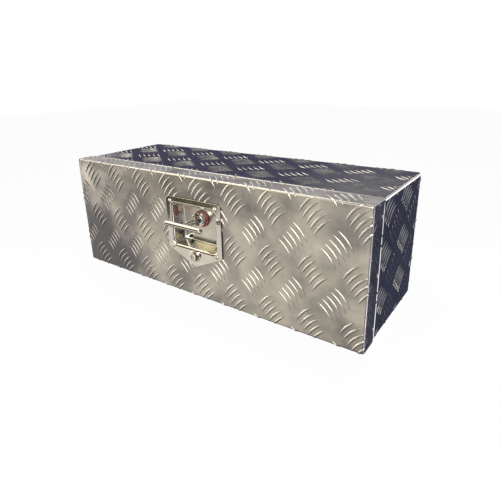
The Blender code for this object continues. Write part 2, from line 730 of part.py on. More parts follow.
def build_lock_plate():
    """The pressed plate with its dish, the gasket under it and the rivets through both."""
    plate = extruded("lock_plate", plate_outline(0), ALONG_Y, -PLATE_REAR, -PLATE_FRONT, STAINLESS)
    boolean(plate, lofted("dish_outside", dish_rings(PLATE, DISH_BACK, PLATE_FRONT + PLATE / 2)), "UNION")
    boolean(plate, lofted("dish_inside", dish_rings(0, DISH_FLOOR, PLATE_FRONT - OVERRUN)))
    for index, hole in enumerate(plate_holes()):
        boolean(plate, extruded(f"plate_hole_{index}", hole, ALONG_Y, -PLATE_REAR - OVERRUN,
                                -PLATE_FRONT + OVERRUN))
    bore = circle(LOCK_X, HUB_Z, SHAFT_RADIUS + SHAFT_PLAY, TURN_STEPS)
    boolean(plate, extruded("spindle_hole", bore, ALONG_Y, -DISH_BACK - OVERRUN, -DISH_FLOOR + OVERRUN))
    gasket = extruded("lock_gasket", plate_outline(GASKET_INSET), ALONG_Y, -DOOR_FRONT + FIT, -GASKET_FRONT,
                      RUBBER, lock_holes(PLATE + DISH_MOUTH + DISH_PLAY))
    head_rear = PLATE_FRONT - FIT
    head_front = head_rear - RIVET_HEAD_HEIGHT
    tail_front = DOOR_INSIDE + FIT
    dome = [
        (RIVET_HEAD_RADIUS * math.sin(angle), head_rear - RIVET_HEAD_HEIGHT * math.cos(angle))
        for angle in (math.radians(30), math.radians(55), math.radians(75), math.radians(90))
    ]
    profile = [
        (0, head_front + RIVET_DIMPLE_DEPTH),
        (RIVET_DIMPLE_RADIUS, head_front + RIVET_DIMPLE_DEPTH),
        (RIVET_DIMPLE_RADIUS, dome[0][1]),
        *dome,
        (RIVET_SHANK_RADIUS, head_rear),
        (RIVET_SHANK_RADIUS, tail_front),
        (RIVET_TAIL_RADIUS, tail_front),
        (RIVET_TAIL_RADIUS, tail_front + RIVET_TAIL_LENGTH / 2),
        (RIVET_SHANK_RADIUS, tail_front + RIVET_TAIL_LENGTH),
        (0, tail_front + RIVET_TAIL_LENGTH),
    ]
    rivets = [
        turned(name, profile, (LOCK_X + x, HUB_Z + z), STAINLESS, RIVET_STEPS)
        for name, (x, z) in RIVET_PLACES.items()
    ]
    return [plate, gasket, *rivets]


def build_bearing():
    """What stays on the door round the spindle: its seal ring, its bearing and the handle's bumpers."""
    centre = (LOCK_X, HUB_Z)
    ring_rear = DISH_FLOOR - FIT
    ring_front = FOLD_Y + STEM_EYE_RADIUS * math.sin(math.radians(STEM_EYE_DEGREES)) + FIT
    ring_inner = BOSS_RADIUS + FIT
    arc = [math.pi / 2 * step / ROUND_STEPS for step in range(ROUND_STEPS + 1)]
    rim = [
        (SEAL_RING_RADIUS - SEAL_RING_ROUND * (1 - math.sin(angle)),
         ring_front + SEAL_RING_ROUND * (1 - math.cos(angle)))
        for angle in arc
    ]
    profile = [(ring_inner, ring_front), *rim, (SEAL_RING_RADIUS, ring_rear), (ring_inner, ring_rear)]
    ring = turned("spindle_seal", profile, centre, RED, hollow=True)
    bore = SHAFT_RADIUS + SHAFT_PLAY
    flange_rear = BEARING_FRONT + BEARING_FLANGE
    profile = [
        (bore, BEARING_FRONT),
        (BEARING_FLANGE_RADIUS, BEARING_FRONT),
        (BEARING_FLANGE_RADIUS, flange_rear),
        (BEARING_RADIUS, flange_rear),
        (BEARING_RADIUS, BEARING_REAR),
        (bore, BEARING_REAR),
    ]
    bearing = turned("spindle_bearing", profile, centre, STEEL, hollow=True)
    bumper_front = FOLD_Y + CROSSBAR_RADIUS + FIT
    profile = [
        (0, bumper_front),
        (BUMPER_RADIUS - BUMPER_ROUND, bumper_front),
        (BUMPER_RADIUS, bumper_front + BUMPER_ROUND),
        (BUMPER_RADIUS, DISH_FLOOR - FIT),
        (0, DISH_FLOOR - FIT),
    ]
    bumpers = [
        turned(f"handle_bumper_{word}", profile, (LOCK_X + side * BUMPER_X, HUB_Z - BUMPER_DROP), RUBBER,
               SMALL_TURN_STEPS)
        for side, word in ((-1, "left"), (1, "right"))
    ]
    return [ring, bearing, *bumpers]


def build_spindle():
    """The spindle with its forked boss, and the clip, cam, washer, nut and fold pin on it."""
    centre = (LOCK_X, HUB_Z)
    shoulder = CAM_FRONT - FIT
    square_end = CAM_REAR - FIT
    stud_end = square_end + STUD_LENGTH
    groove_front = BEARING_REAR + FIT / 2
    groove_rear = groove_front + CLIP + 2 * FIT
    groove = SHAFT_RADIUS - GROOVE_DEPTH
    profile = [
        (0, BOSS_FRONT),
        (BOSS_RADIUS - BOSS_CHAMFER, BOSS_FRONT),
        (BOSS_RADIUS, BOSS_FRONT + BOSS_CHAMFER),
        (BOSS_RADIUS, BOSS_REAR),
        (SHAFT_RADIUS, BOSS_REAR),
        (SHAFT_RADIUS, groove_front),
        (groove, groove_front),
        (groove, groove_rear),
        (SHAFT_RADIUS, groove_rear),
        (SHAFT_RADIUS, shoulder),
        (STUD_RADIUS, shoulder),
        (STUD_RADIUS, stud_end),
        (0, stud_end),
    ]
    spindle = turned("spindle", profile, centre, STAINLESS)
    half = SQUARE / 2
    drive = block("spindle_square", (LOCK_X - half, shoulder - SHOULDER_LAP, HUB_Z - half),
                  (LOCK_X + half, square_end, HUB_Z + half))
    boolean(spindle, drive, "UNION")
    fork_reach = BOSS_RADIUS + OVERRUN
    slot = block("spindle_slot", (LOCK_X - SLOT_HALF_WIDTH, BOSS_FRONT - OVERRUN, HUB_Z - fork_reach),
                 (LOCK_X + SLOT_HALF_WIDTH, FOLD_Y + STEM_EYE_RADIUS + SLOT_PLAY, HUB_Z + fork_reach))
    boolean(spindle, slot)
    pivot = (LOCK_X, FOLD_Y, HUB_Z)
    pin_hole = rod("fold_pin_hole", FOLD_PIN_RADIUS + FIT, -fork_reach, fork_reach, ALONG_X, pivot,
                   SMALL_TURN_STEPS)
    boolean(spindle, pin_hole)
    fold_pin = rod("fold_pin", FOLD_PIN_RADIUS, -FOLD_PIN_LENGTH / 2, FOLD_PIN_LENGTH / 2, ALONG_X, pivot,
                   SMALL_TURN_STEPS, STAINLESS)
    clip_front = groove_front + FIT
    clip_rear = clip_front + CLIP
    clip_bore = groove + FIT
    profile = [(clip_bore, clip_front), (CLIP_RADIUS, clip_front), (CLIP_RADIUS, clip_rear),
               (clip_bore, clip_rear)]
    clip = turned("spindle_clip", profile, centre, STEEL, hollow=True)
    washer_front = CAM_REAR + FIT
    washer_rear = washer_front + WASHER
    stud_hole = STUD_RADIUS + FIT
    profile = [(stud_hole, washer_front), (WASHER_RADIUS, washer_front), (WASHER_RADIUS, washer_rear),
               (stud_hole, washer_rear)]
    washer = turned("cam_washer", profile, centre, STEEL, hollow=True)
    nut_front = washer_rear + FIT
    corner_radius = NUT_FLATS / math.sqrt(3)
    nut = extruded("cam_nut", circle(LOCK_X, HUB_Z, corner_radius, 6), ALONG_Y, -nut_front,
                   -nut_front - NUT_HEIGHT, STEEL, [circle(LOCK_X, HUB_Z, stud_hole, SMALL_TURN_STEPS)])
    return [spindle, fold_pin, clip, build_cam(), washer, nut]


def build_cam():
    """The latch cam: a tongue that hooks behind the body's top lip and a forked tail for the bolt."""
    reach = BODY_TOP - LIP - HUB_Z + TONGUE_OVERLAP
    half = CAM_WIDTH / 2
    tip = half - TONGUE_TAPER
    tail = KEY_DROP + FORK_END
    notch = BOLT_RADIUS + FORK_PLAY
    notch_end = KEY_DROP - notch
    outline = rounded([
        (LOCK_X + reach, HUB_Z - tip, CAM_CORNER),
        (LOCK_X + reach, HUB_Z + tip, CAM_CORNER),
        (LOCK_X + half, HUB_Z + half, 0),
        (LOCK_X - tail, HUB_Z + half, FORK_CORNER),
        (LOCK_X - tail, HUB_Z + notch, FORK_CORNER),
        (LOCK_X - notch_end, HUB_Z + notch, notch - FIT),
        (LOCK_X - notch_end, HUB_Z - notch, notch - FIT),
        (LOCK_X - tail, HUB_Z - notch, FORK_CORNER),
        (LOCK_X - tail, HUB_Z - half, FORK_CORNER),
        (LOCK_X + half, HUB_Z - half, 0),
    ])
    seat = SQUARE / 2 + FIT
    square = [(LOCK_X + a * seat, HUB_Z + b * seat) for a, b in ((-1, -1), (1, -1), (1, 1), (-1, 1))]
    return extruded("latch_cam", outline, ALONG_Y, -CAM_FRONT, -CAM_REAR, STEEL, [square])


def build_handle():
    """The T-handle, drawn folded out: a flat stem with its eye on the fold pin, and a round crossbar."""
    bar_y = FOLD_Y - ARM
    half = CROSSBAR_LENGTH / 2
    profile = [
        (0, half),
        (CROSSBAR_RADIUS - CROSSBAR_ROUND, half),
        (CROSSBAR_RADIUS, half - CROSSBAR_ROUND),
        (CROSSBAR_RADIUS, -half + CROSSBAR_ROUND),
        (CROSSBAR_RADIUS - CROSSBAR_ROUND, -half),
        (0, -half),
    ]
    handle = turned("t_handle", [(radius, -along) for radius, along in profile], (0, 0), STAINLESS)
    handle.matrix_world = Matrix.Translation((LOCK_X, bar_y, HUB_Z)) @ ALONG_X
    eye = [
        (FOLD_Y + STEM_EYE_RADIUS * math.cos(angle), HUB_Z + STEM_EYE_RADIUS * math.sin(angle))
        for angle in [
            math.radians(STEM_EYE_DEGREES * (2 * step / SMALL_TURN_STEPS - 1))
            for step in range(SMALL_TURN_STEPS + 1)
        ]
    ]
    neck = [(bar_y, HUB_Z + STEM_NECK), (bar_y, HUB_Z - STEM_NECK)]
    half_width = STEM_WIDTH / 2
    stem = extruded("stem", [*eye, *neck], ALONG_X, LOCK_X - half_width, LOCK_X + half_width)
    boolean(handle, stem, "UNION")
    pivot = (LOCK_X, FOLD_Y, HUB_Z)
    boolean(handle, rod("eye_hole", FOLD_PIN_RADIUS + FIT, -STEM_WIDTH, STEM_WIDTH, ALONG_X, pivot,
                        SMALL_TURN_STEPS))
    return [handle]


def build_barrel():
    """The push lock's barrel in the plate, and the clip that holds it behind the door."""
    centre = (LOCK_X, KEY_Z)
    bezel_rear = PLATE_FRONT - FIT
    bore = PLUNGER_RADIUS + PLUNGER_PLAY
    groove_front = DOOR_INSIDE + FIT / 2
    groove_rear = groove_front + CLIP + FIT
    groove = BARREL_RADIUS - BARREL_GROOVE
    floor = BARREL_REAR - BARREL_FLOOR
    guide = BOLT_RADIUS + BOLT_PLAY
    profile = [
        (bore, bezel_rear - BEZEL),
        (BEZEL_RADIUS, bezel_rear - BEZEL),
        (BEZEL_RADIUS, bezel_rear),
        (BARREL_RADIUS, bezel_rear),
        (BARREL_RADIUS, groove_front),
        (groove, groove_front),
        (groove, groove_rear),
        (BARREL_RADIUS, groove_rear),
        (BARREL_RADIUS, BARREL_REAR),
        (guide, BARREL_REAR),
        (guide, floor),
        (bore, floor),
    ]
    barrel = turned("lock_barrel", profile, centre, STAINLESS, hollow=True)
    seat = groove + FIT
    below = [
        (LOCK_X + seat * math.cos(angle), KEY_Z + seat * math.sin(angle))
        for angle in [math.pi * (1 + step / SMALL_TURN_STEPS) for step in range(SMALL_TURN_STEPS + 1)]
    ]
    outline = [
        (LOCK_X - seat, KEY_Z + CLIP_PLATE_TOP),
        *below,
        (LOCK_X + seat, KEY_Z + CLIP_PLATE_TOP),
        (LOCK_X + CLIP_PLATE_HALF_WIDTH, KEY_Z + CLIP_PLATE_TOP),
        (LOCK_X + CLIP_PLATE_HALF_WIDTH, KEY_Z - CLIP_PLATE_BOTTOM),
        (LOCK_X - CLIP_PLATE_HALF_WIDTH, KEY_Z - CLIP_PLATE_BOTTOM),
        (LOCK_X - CLIP_PLATE_HALF_WIDTH, KEY_Z + CLIP_PLATE_TOP),
    ]
    front = DOOR_INSIDE + FIT
    clip = extruded("barrel_clip", outline, ALONG_Y, -front, -front - CLIP, STEEL)
    return [barrel, clip]


def build_plunger():
    """The plunger with its bolt, drawn popped out, and the spring behind it."""
    centre = (LOCK_X, KEY_Z)
    plug_bore = PLUG_RADIUS + PLUG_PLAY
    plug_floor = PLUNGER_FRONT - PLUG_PROUD + PLUG_LENGTH + PLUG_PLAY
    bolt_end = CAM_FRONT - BOLT_REST_GAP
    profile = [
        (0, plug_floor),
        (plug_bore, plug_floor),
        (plug_bore, PLUNGER_FRONT),
        (PLUNGER_RADIUS - PLUNGER_CHAMFER, PLUNGER_FRONT),
        (PLUNGER_RADIUS, PLUNGER_FRONT + PLUNGER_CHAMFER),
        (PLUNGER_RADIUS, PLUNGER_REAR),
        (BOLT_RADIUS, PLUNGER_REAR),
        (BOLT_RADIUS, bolt_end),
        (0, bolt_end),
    ]
    plunger = turned("lock_plunger", profile, centre, STAINLESS)
    first = PLUNGER_REAR + FIT + SPRING_WIRE_RADIUS
    last = BARREL_REAR - BARREL_FLOOR - FIT - SPRING_WIRE_RADIUS
    curve = bpy.data.curves.new("plunger_spring", "CURVE")
    curve.dimensions = "3D"
    curve.bevel_depth = SPRING_WIRE_RADIUS
    curve.bevel_resolution = 1
    curve.use_fill_caps = True
    spline = curve.splines.new("POLY")
    count = SPRING_TURNS * SPRING_POINTS_PER_TURN
    spline.points.add(count)
    for index, point in enumerate(spline.points):
        angle = math.tau * index / SPRING_POINTS_PER_TURN
        x = LOCK_X + SPRING_RADIUS * math.cos(angle)
        z = KEY_Z + SPRING_RADIUS * math.sin(angle)
        point.co = (x, first + (last - first) * index / count, z, 1)
    spring = as_mesh(bpy.data.objects.new("plunger_spring", curve), STEEL)
    return [plunger, spring]


def build_key_plug():
    """The plug that the key turns, with its upright keyway."""
    front = PLUNGER_FRONT - PLUG_PROUD
    rear = front + PLUG_LENGTH
    plug = turned("key_plug", [(0, front), (PLUG_RADIUS, front), (PLUG_RADIUS, rear), (0, rear)],
                  (LOCK_X, KEY_Z), BRASS)
    keyway = block("keyway", (LOCK_X - KEYWAY_WIDTH / 2, front - OVERRUN, KEY_Z - KEYWAY_HEIGHT / 2),
                   (LOCK_X + KEYWAY_WIDTH / 2, front + KEYWAY_DEPTH, KEY_Z + KEYWAY_HEIGHT / 2))
    return [boolean(plug, keyway)]


def build():
    """All pieces, each moving one under the empty on its joint's axis."""
    build_body()
    door_leaf = build_hinge()
    door_axis = axis_empty("door_hinge_axis", (0, HINGE_Y, HINGE_Z))
    turn_axis = axis_empty("handle_turn_axis", (LOCK_X, FOLD_Y, HUB_Z))
    fold_axis = axis_empty("handle_fold_axis", (LOCK_X, FOLD_Y, HUB_Z))
    push_axis = axis_empty("lock_push_axis", (LOCK_X, PLUNGER_FRONT, KEY_Z))
    key_axis = axis_empty("key_turn_axis", (LOCK_X, PLUNGER_FRONT, KEY_Z))
    carry(door_axis, *build_door(door_leaf), *build_lock_plate(), *build_bearing(), *build_barrel())
    carry(door_axis, turn_axis, push_axis)
    carry(turn_axis, *build_spindle(), fold_axis)
    carry(fold_axis, *build_handle())
    carry(push_axis, *build_plunger(), key_axis)
    carry(key_axis, *build_key_plug())


for old in list(bpy.data.objects):
    bpy.data.objects.remove(old, do_unlink=True)

PIECES = make_collection("trailer_storage_box")
CUTTERS = make_collection("cutters")
TREAD = make_material("tread plate", (0.60, 0.57, 0.53), 0.35, 1.0)
PLAIN = make_material("plain aluminium", (0.66, 0.66, 0.66), 0.40, 1.0)
STAINLESS = make_material("polished stainless", (0.72, 0.71, 0.66), 0.15, 1.0)
STEEL = make_material("zinc plated steel", (0.62, 0.63, 0.62), 0.35, 1.0)
BRASS = make_material("nickel plated brass", (0.70, 0.68, 0.62), 0.25, 1.0)
RUBBER = make_material("black rubber", (0.03, 0.03, 0.03), 0.75, 0.0)
RED = make_material("red rubber", (0.45, 0.07, 0.06), 0.55, 0.0)
build()
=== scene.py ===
"""Trailer storage box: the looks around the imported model, laid out as an add-on.

The X axis runs along the box, the door faces -Y and Z is up. All values are in metres.
"""

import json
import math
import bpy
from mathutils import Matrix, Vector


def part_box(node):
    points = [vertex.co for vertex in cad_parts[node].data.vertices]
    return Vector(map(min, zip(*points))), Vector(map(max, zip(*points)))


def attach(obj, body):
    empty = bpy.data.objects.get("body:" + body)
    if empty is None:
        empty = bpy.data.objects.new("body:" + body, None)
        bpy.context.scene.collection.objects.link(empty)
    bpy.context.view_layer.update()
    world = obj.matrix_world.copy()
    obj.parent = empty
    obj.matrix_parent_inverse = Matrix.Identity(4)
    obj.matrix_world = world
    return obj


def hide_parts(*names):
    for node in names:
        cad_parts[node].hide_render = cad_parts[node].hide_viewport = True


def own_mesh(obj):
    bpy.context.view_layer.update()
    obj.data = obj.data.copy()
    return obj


bl_info = {
    "name": "Trailer storage box",
    "version": (1, 0, 0),
    "blender": (4, 5, 0),
    "location": "3D View > Sidebar > Storage Box",
    "description": "Tread plate storage box with a drop-down door and a folding T-handle lock",
    "category": "Add Mesh",
}

import bpy
import numpy as np
from mathutils import Matrix, Vector

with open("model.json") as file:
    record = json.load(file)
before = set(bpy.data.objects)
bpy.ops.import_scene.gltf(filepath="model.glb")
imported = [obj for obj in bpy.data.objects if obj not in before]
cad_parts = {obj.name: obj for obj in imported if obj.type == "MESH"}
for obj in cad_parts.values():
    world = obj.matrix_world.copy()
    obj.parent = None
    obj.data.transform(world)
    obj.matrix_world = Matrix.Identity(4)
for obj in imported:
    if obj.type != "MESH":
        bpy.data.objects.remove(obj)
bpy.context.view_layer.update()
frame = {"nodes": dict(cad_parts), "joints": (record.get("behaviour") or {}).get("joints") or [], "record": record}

MM = 0.001
NODES = frame["nodes"]
SLOT_OF = {part["node"]: part["material_slot"] for part in frame["record"]["subparts"]}
JOINT_AT = {joint["name"]: joint.get("pos_m") for joint in frame["joints"]}
SQUARE = np.array([(-1, -1), (1, -1), (1, 1), (-1, 1)])
GAP = 0.3 * MM
CREASE = math.radians(40)

# Folded sheets, whose raised bars stand out past them
SHEET = 2.5 * MM
BEND = 4.0 * MM
BEND_CURVE = BEND * math.pi / 2
BEND_STEPS = 8
LIP = 28.0 * MM
DOOR_LIP = 31.0 * MM
BAR_HEIGHT = 1.4 * MM
BAR_SUNK = 0.4 * MM
DOOR_LOW, DOOR_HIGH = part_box("door_skin")
DOOR_LOW.y += BAR_HEIGHT
DOOR_MIDDLE_Z = (DOOR_LOW.z + DOOR_HIGH.z) / 2
DOOR_FLAT_X = DOOR_HIGH.x - BEND
DOOR_FLAT_Z = (DOOR_HIGH.z - DOOR_LOW.z) / 2 - BEND
WRAP_LOW, WRAP_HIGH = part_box("body_wrap")
WRAP_HIGH.z -= BAR_HEIGHT
WRAP_TOP = WRAP_HIGH.y - WRAP_LOW.y - 2 * BEND
WRAP_BACK = WRAP_HIGH.z - WRAP_LOW.z - 2 * BEND
END_LOW, END_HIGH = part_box("end_panel_right")
END_HIGH.x -= BAR_HEIGHT

# Lock
PLATE_LOW, PLATE_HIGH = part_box("lock_plate")
PLATE_FRONT = PLATE_LOW.y
PLATE_THICK = 1.5 * MM
PLATE_HALF = 68.5 * MM
LOCK_X = (PLATE_LOW.x + PLATE_HIGH.x) / 2
FOLD_Y, HUB_Z = JOINT_AT["handle_turn"][1:]
KEY_Z = JOINT_AT["key_turn"][2]
HUB = np.array([LOCK_X, HUB_Z])
SHOULDER_Z = HUB_Z - 62 * MM
DISH_TOP, DISH_BOTTOM = HUB_Z + 30.5 * MM, HUB_Z - 54 * MM
DISH_MIDDLE = np.array([LOCK_X, (DISH_TOP + DISH_BOTTOM) / 2])
DISH_HALF = np.array([54 * MM, (DISH_TOP - DISH_BOTTOM) / 2])
DISH_FLOOR = PLATE_FRONT + 28 * MM
DRAFT = 3.5 * MM


# Shader nodes


class Value:
    """A node's output. Sums, differences and products of values add Math nodes."""

    def __init__(self, drawing, socket):
        self.drawing = drawing
        self.socket = socket

    def _math(self, operation, first, second):
        return self.drawing.node("ShaderNodeMath", {"operation": operation}, {0: first, 1: second})

    def __add__(self, other):
        return self._math("ADD", self, other)

    def __sub__(self, other):
        return self._math("SUBTRACT", self, other)

    def __rsub__(self, other):
        return self._math("SUBTRACT", other, self)

    def __mul__(self, other):
        return self._math("MULTIPLY", self, other)

    __radd__ = __add__
    __rmul__ = __mul__


class Drawing:
    """A node tree that is being drawn from empty."""

    def __init__(self, tree):
        self.tree = tree
        tree.nodes.clear()

    def node(self, kind, settings=None, inputs=None, output=0):
        """Adds a node: its settings first, then the values or links of its sockets."""
        made = self.tree.nodes.new(kind)
        for name, value in (settings or {}).items():
            setattr(made, name, value)
        for name, value in (inputs or {}).items():
            if isinstance(value, Value):
                self.tree.links.new(value.socket, made.inputs[name])
            else:
                made.inputs[name].default_value = value
        return Value(self, made.outputs[output]) if made.outputs else None

    def spot(self, stretch=(1, 1, 1)):
        """The object's own coordinates, stretched."""
        place = self.node("ShaderNodeTexCoord", output="Object")
        return self.node("ShaderNodeMapping", {}, {"Vector": place, "Scale": stretch})

    def part(self, axis, vector=None):
        """A vector's part along X, Y or Z, or that of the object's own coordinates."""
        return self.node("ShaderNodeSeparateXYZ", {}, {"Vector": vector or self.spot()}, output=axis)

    def noise(self, scale, detail=2.0, stretch=(1, 1, 1), roughness=0.5):
        """Noise from 0 to 1 whose features are about 1/scale metres long."""
        inputs = {"Vector": self.spot(stretch), "Scale": scale, "Detail": detail, "Roughness": roughness}
        return self.node("ShaderNodeTexNoise", {}, inputs)

    def remap(self, value, low, high):
        """A value's range from low to high carried to 0 to 1, and held there."""
        inputs = {"Value": value, "From Min": low, "From Max": high}
        return self.node("ShaderNodeMapRange", {"clamp": True}, inputs)

    def mix(self, factor, first, second):
        """A colour between two others."""
        inputs = {0: factor, 6: colour_of(first), 7: colour_of(second)}
        return self.node("ShaderNodeMix", {"data_type": "RGBA"}, inputs, output=2)

    def glow(self, kind, colour, strength):
        """A Background or Emission node."""
        return self.node(kind, {}, {"Color": colour_of(colour), "Strength": strength})

    def in_sight(self):
        """1 for the camera's rays, straight or through something clear, and 0 for all others."""
        kinds = ("Camera", "Transmission")
        rays = [self.node("ShaderNodeLightPath", output=f"Is {kind} Ray") for kind in kinds]
        return self.node("ShaderNodeMath", {"operation": "MAXIMUM"}, dict(enumerate(rays)))

    def blend(self, factor, first, second):
        """A shader between two others."""
        return self.node("ShaderNodeMixShader", {}, {0: factor, 1: first, 2: second})


def colour_of(colour):
    """A colour as a socket takes it."""
    return colour if isinstance(colour, Value) else (*colour, 1)


def new_material(name):
    """A material and the drawing of its nodes."""
    material = bpy.data.materials.new(name)
    material.use_nodes = True
    return material, Drawing(material.node_tree)


def finish_material(name, colour, worn_and_lit, metallic, roughness, pattern, coat=0.0):
    """A Principled material. pattern(drawing) gives its tone, its roughness shift, its height and the
    height's size in metres: the tone goes from colour to worn_and_lit, and the shift is added to the roughness.
    On some finishes the colours also hold painted shade and painted light."""
    material, drawing = new_material(name)
    tone, shift, height, distance = pattern(drawing)
    bump = drawing.node("ShaderNodeBump", {}, {"Strength": 1.0, "Distance": distance, "Height": height})
    shader = drawing.node("ShaderNodeBsdfPrincipled", {}, {
        "Base Color": drawing.mix(tone, colour, worn_and_lit),
        "Roughness": roughness + shift,
        "Metallic": metallic,
        "Coat Weight": coat,
        "Normal": bump,
    })
    drawing.node("ShaderNodeOutputMaterial", {}, {"Surface": shader})
    return material


def rolled_pattern(drawing):
    """Rolled aluminium sheet: long soft waves, rolling streaks along X and a fine grain."""
    waves = drawing.noise(11.0, 1.0)
    streaks = drawing.noise(60.0, 3.0, (0.12, 1, 1))
    grain = drawing.noise(900.0)
    stains = drawing.noise(7.0, 4.0, roughness=0.6)
    tone = drawing.remap(stains * 0.7 + streaks * 0.3, 0.35, 0.68)
    shift = (streaks - 0.5) * 0.16 + (grain - 0.5) * 0.12
    return tone, shift, waves + streaks * 0.05 + grain * 0.035, 0.9 * MM


def door_pattern(drawing):
    """The rolled sheet with broad stains; rougher on the strip along the door's top where rain and hands
    reach, and painted lighter there, as light falls on a top face; painted shade towards the lower left
    corner; and a painted highlight on the bend over the face."""
    tone, shift, height, distance = rolled_pattern(drawing)
    up = drawing.part("Z")
    strip = drawing.remap(up, DOOR_HIGH.z - 1.2 * MM, DOOR_HIGH.z - 0.2 * MM)
    blotches = drawing.noise(14.0, 3.0, roughness=0.55)
    # Painted shade: the tone drops to the dark door colour towards the lower left corner, with a blotchy edge
    outside_painted_shade = drawing.remap(drawing.part("X") + up * 0.8 + blotches * 160 * MM,
                          DOOR_LOW.x + 225 * MM, DOOR_LOW.x + 310 * MM)
    # The strip along the top is painted lighter, as light falls on a top face
    tone = (tone * 0.32 + drawing.remap(blotches, 0.36, 0.64) * 0.44 + 0.17) * outside_painted_shade + strip * 0.2
    # Painted highlight: the bend over the face is lifted to the bright colour and made a little less rough
    front = drawing.remap(drawing.part("Y"), DOOR_LOW.y + BEND, DOOR_LOW.y + 0.6 * BEND)
    painted_bend_highlight = drawing.remap(up, DOOR_HIGH.z - BEND, DOOR_HIGH.z - 0.6 * BEND) * front
    return tone + painted_bend_highlight, shift + strip * 0.24 - painted_bend_highlight * 0.1, height, distance


def crown_pattern(drawing):
    """The crowns of the raised bars: rubbed bright, with small nicks."""
    nicks = drawing.noise(420.0, 3.0)
    rub = drawing.noise(35.0)
    tone = drawing.remap(rub * 0.6 + nicks * 0.4, 0.38, 0.62)
    return tone, (nicks - 0.5) * 0.2, nicks, 0.08 * MM


def top_crown_pattern(drawing):
    """The crowns of the bars on top, which feet and loads have rubbed smoother."""
    tone, shift, height, _ = crown_pattern(drawing)
    return tone, shift * 0.5, height, 0.02 * MM


def door_crown_pattern(drawing):
    """The door's bars: crowns with painted shade towards the left end, and on the strip on top matt and painted
    lighter, as light falls on a top face.
    """
    tone, shift, height, distance = crown_pattern(drawing)
    # Painted shade: the crowns darken towards the door's left end
    outside_painted_shade = drawing.remap(drawing.part("X"), DOOR_LOW.x + 60 * MM, DOOR_LOW.x + 420 * MM)
    strip = drawing.remap(drawing.part("Z"), DOOR_HIGH.z - 1.0 * MM, DOOR_HIGH.z)
    # The strip on top is painted lighter as well as made rougher
    return (tone * 0.3 + 0.7) * outside_painted_shade + strip, shift + strip * 0.3, height, distance


def pressed_pattern(drawing):
    """Pressed and polished stainless steel: faint polishing lines and slow ripples, duller in the dish."""
    lines = drawing.noise(700.0, 2.0, (1, 1, 0.06))
    ripples = drawing.noise(28.0, 1.0)
    smears = drawing.noise(24.0, 3.0)
    depth = drawing.part("Y")
    dish = drawing.remap(depth, PLATE_FRONT + 1.5 * MM, PLATE_FRONT + 5 * MM)
    floor = drawing.remap(depth, PLATE_FRONT + 25 * MM, PLATE_FRONT + 27 * MM)
    shift = (lines - 0.5) * 0.08 + (smears - 0.5) * 0.06 + dish * 0.07 + floor * 0.07
    return drawing.remap(smears, 0.4, 0.65), shift, ripples + lines * 0.02, 0.12 * MM


def bright_pattern(drawing):
    """Bright plating with faint smears."""
    smears = drawing.noise(60.0, 3.0)
    ripples = drawing.noise(90.0, 1.0)
    return drawing.remap(smears, 0.4, 0.65), (smears - 0.5) * 0.08, ripples, 0.05 * MM


def zinc_pattern(drawing):
    """Zinc plating: cloudy patches and a fine crystalline grain."""
    clouds = drawing.noise(55.0, 3.0)
    grain = drawing.noise(600.0)
    tone = drawing.remap(clouds * 0.7 + grain * 0.3, 0.38, 0.62)
    return tone, (clouds - 0.5) * 0.25, clouds * 0.3 + grain, 0.03 * MM


def rubber_pattern(drawing):
    """Moulded rubber: a fine matt grain and dusty patches."""
    grain = drawing.noise(1400.0)
    dust = drawing.noise(45.0, 4.0)
    return drawing.remap(dust, 0.45, 0.75), (dust - 0.5) * 0.2, grain, 0.04 * MM


def weld_pattern(drawing):
    """Weld metal: bright, lightly pitted."""
    pits = drawing.noise(520.0, 3.0)
    return drawing.remap(pits, 0.35, 0.65), (pits - 0.5) * 0.3, pits, 0.12 * MM


# Surfaces

FINISHES = {}
OUTLINE_ARC_STEPS = 10
FRAME_ARC_STEPS = 6
FRAME_SIDE_STEPS = 24


def new_object(name, data):
    """An object in the scene."""
    made = bpy.data.objects.new(name, data)
    bpy.context.scene.collection.objects.link(made)
    return made


def mesh_object(name, points, faces):
    """An object from an array of points and a list of face index arrays."""
    mesh = bpy.data.meshes.new(name)
    mesh.from_pydata(points, [], [tuple(face) for block in faces for face in block.tolist()])
    mesh.update()
    return new_object(name, mesh)


def as_piece(name, bodies, finish, body, stands_for=None):
    """A smooth piece of closed bodies that rides on a body of the model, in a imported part's place if any."""
    piece = mesh_object(name, *joined(bodies))
    piece.data.shade_smooth()
    piece.data.set_sharp_from_angle(angle=CREASE)
    piece.data.materials.append(FINISHES[finish])
    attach(piece, body)
    if stands_for:
        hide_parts(stands_for)
    return piece


def skin(rings, closed=False):
    """Points and faces of closed bodies from rings of shape (bodies, rows, around, 3), or of one body.

    Each face joins neighbours on a ring with neighbours on the next one. The first and last ring are
    joined where closed is true, and otherwise each ends in a pole, which is the mean of its ring.
    """
    rings = np.asarray(rings, float)
    if rings.ndim == 3:
        rings = rings[None]
    count, rows, around, _ = rings.shape
    index = np.arange(count * rows * around).reshape(count, rows, around)
    here = index if closed else index[:, :-1]
    after = np.roll(index, -1, 1) if closed else index[:, 1:]
    quads = np.stack([here, np.roll(here, -1, 2), np.roll(after, -1, 2), after], -1).reshape(-1, 4)
    points = rings.reshape(-1, 3)
    faces = [quads]
    if not closed:
        poles = len(points) + np.arange(2 * count).reshape(2, count, 1)
        points = np.concatenate([points, rings[:, 0].mean(1), rings[:, -1].mean(1)])
        for pole, ring, way in ((poles[0], index[:, 0], 1), (poles[1], index[:, -1], -1)):
            fan = [np.broadcast_to(pole, ring.shape), *(np.roll(ring, -1, 1), ring)[::way]]
            faces.append(np.stack(fan, -1).reshape(-1, 3))
    return points, faces


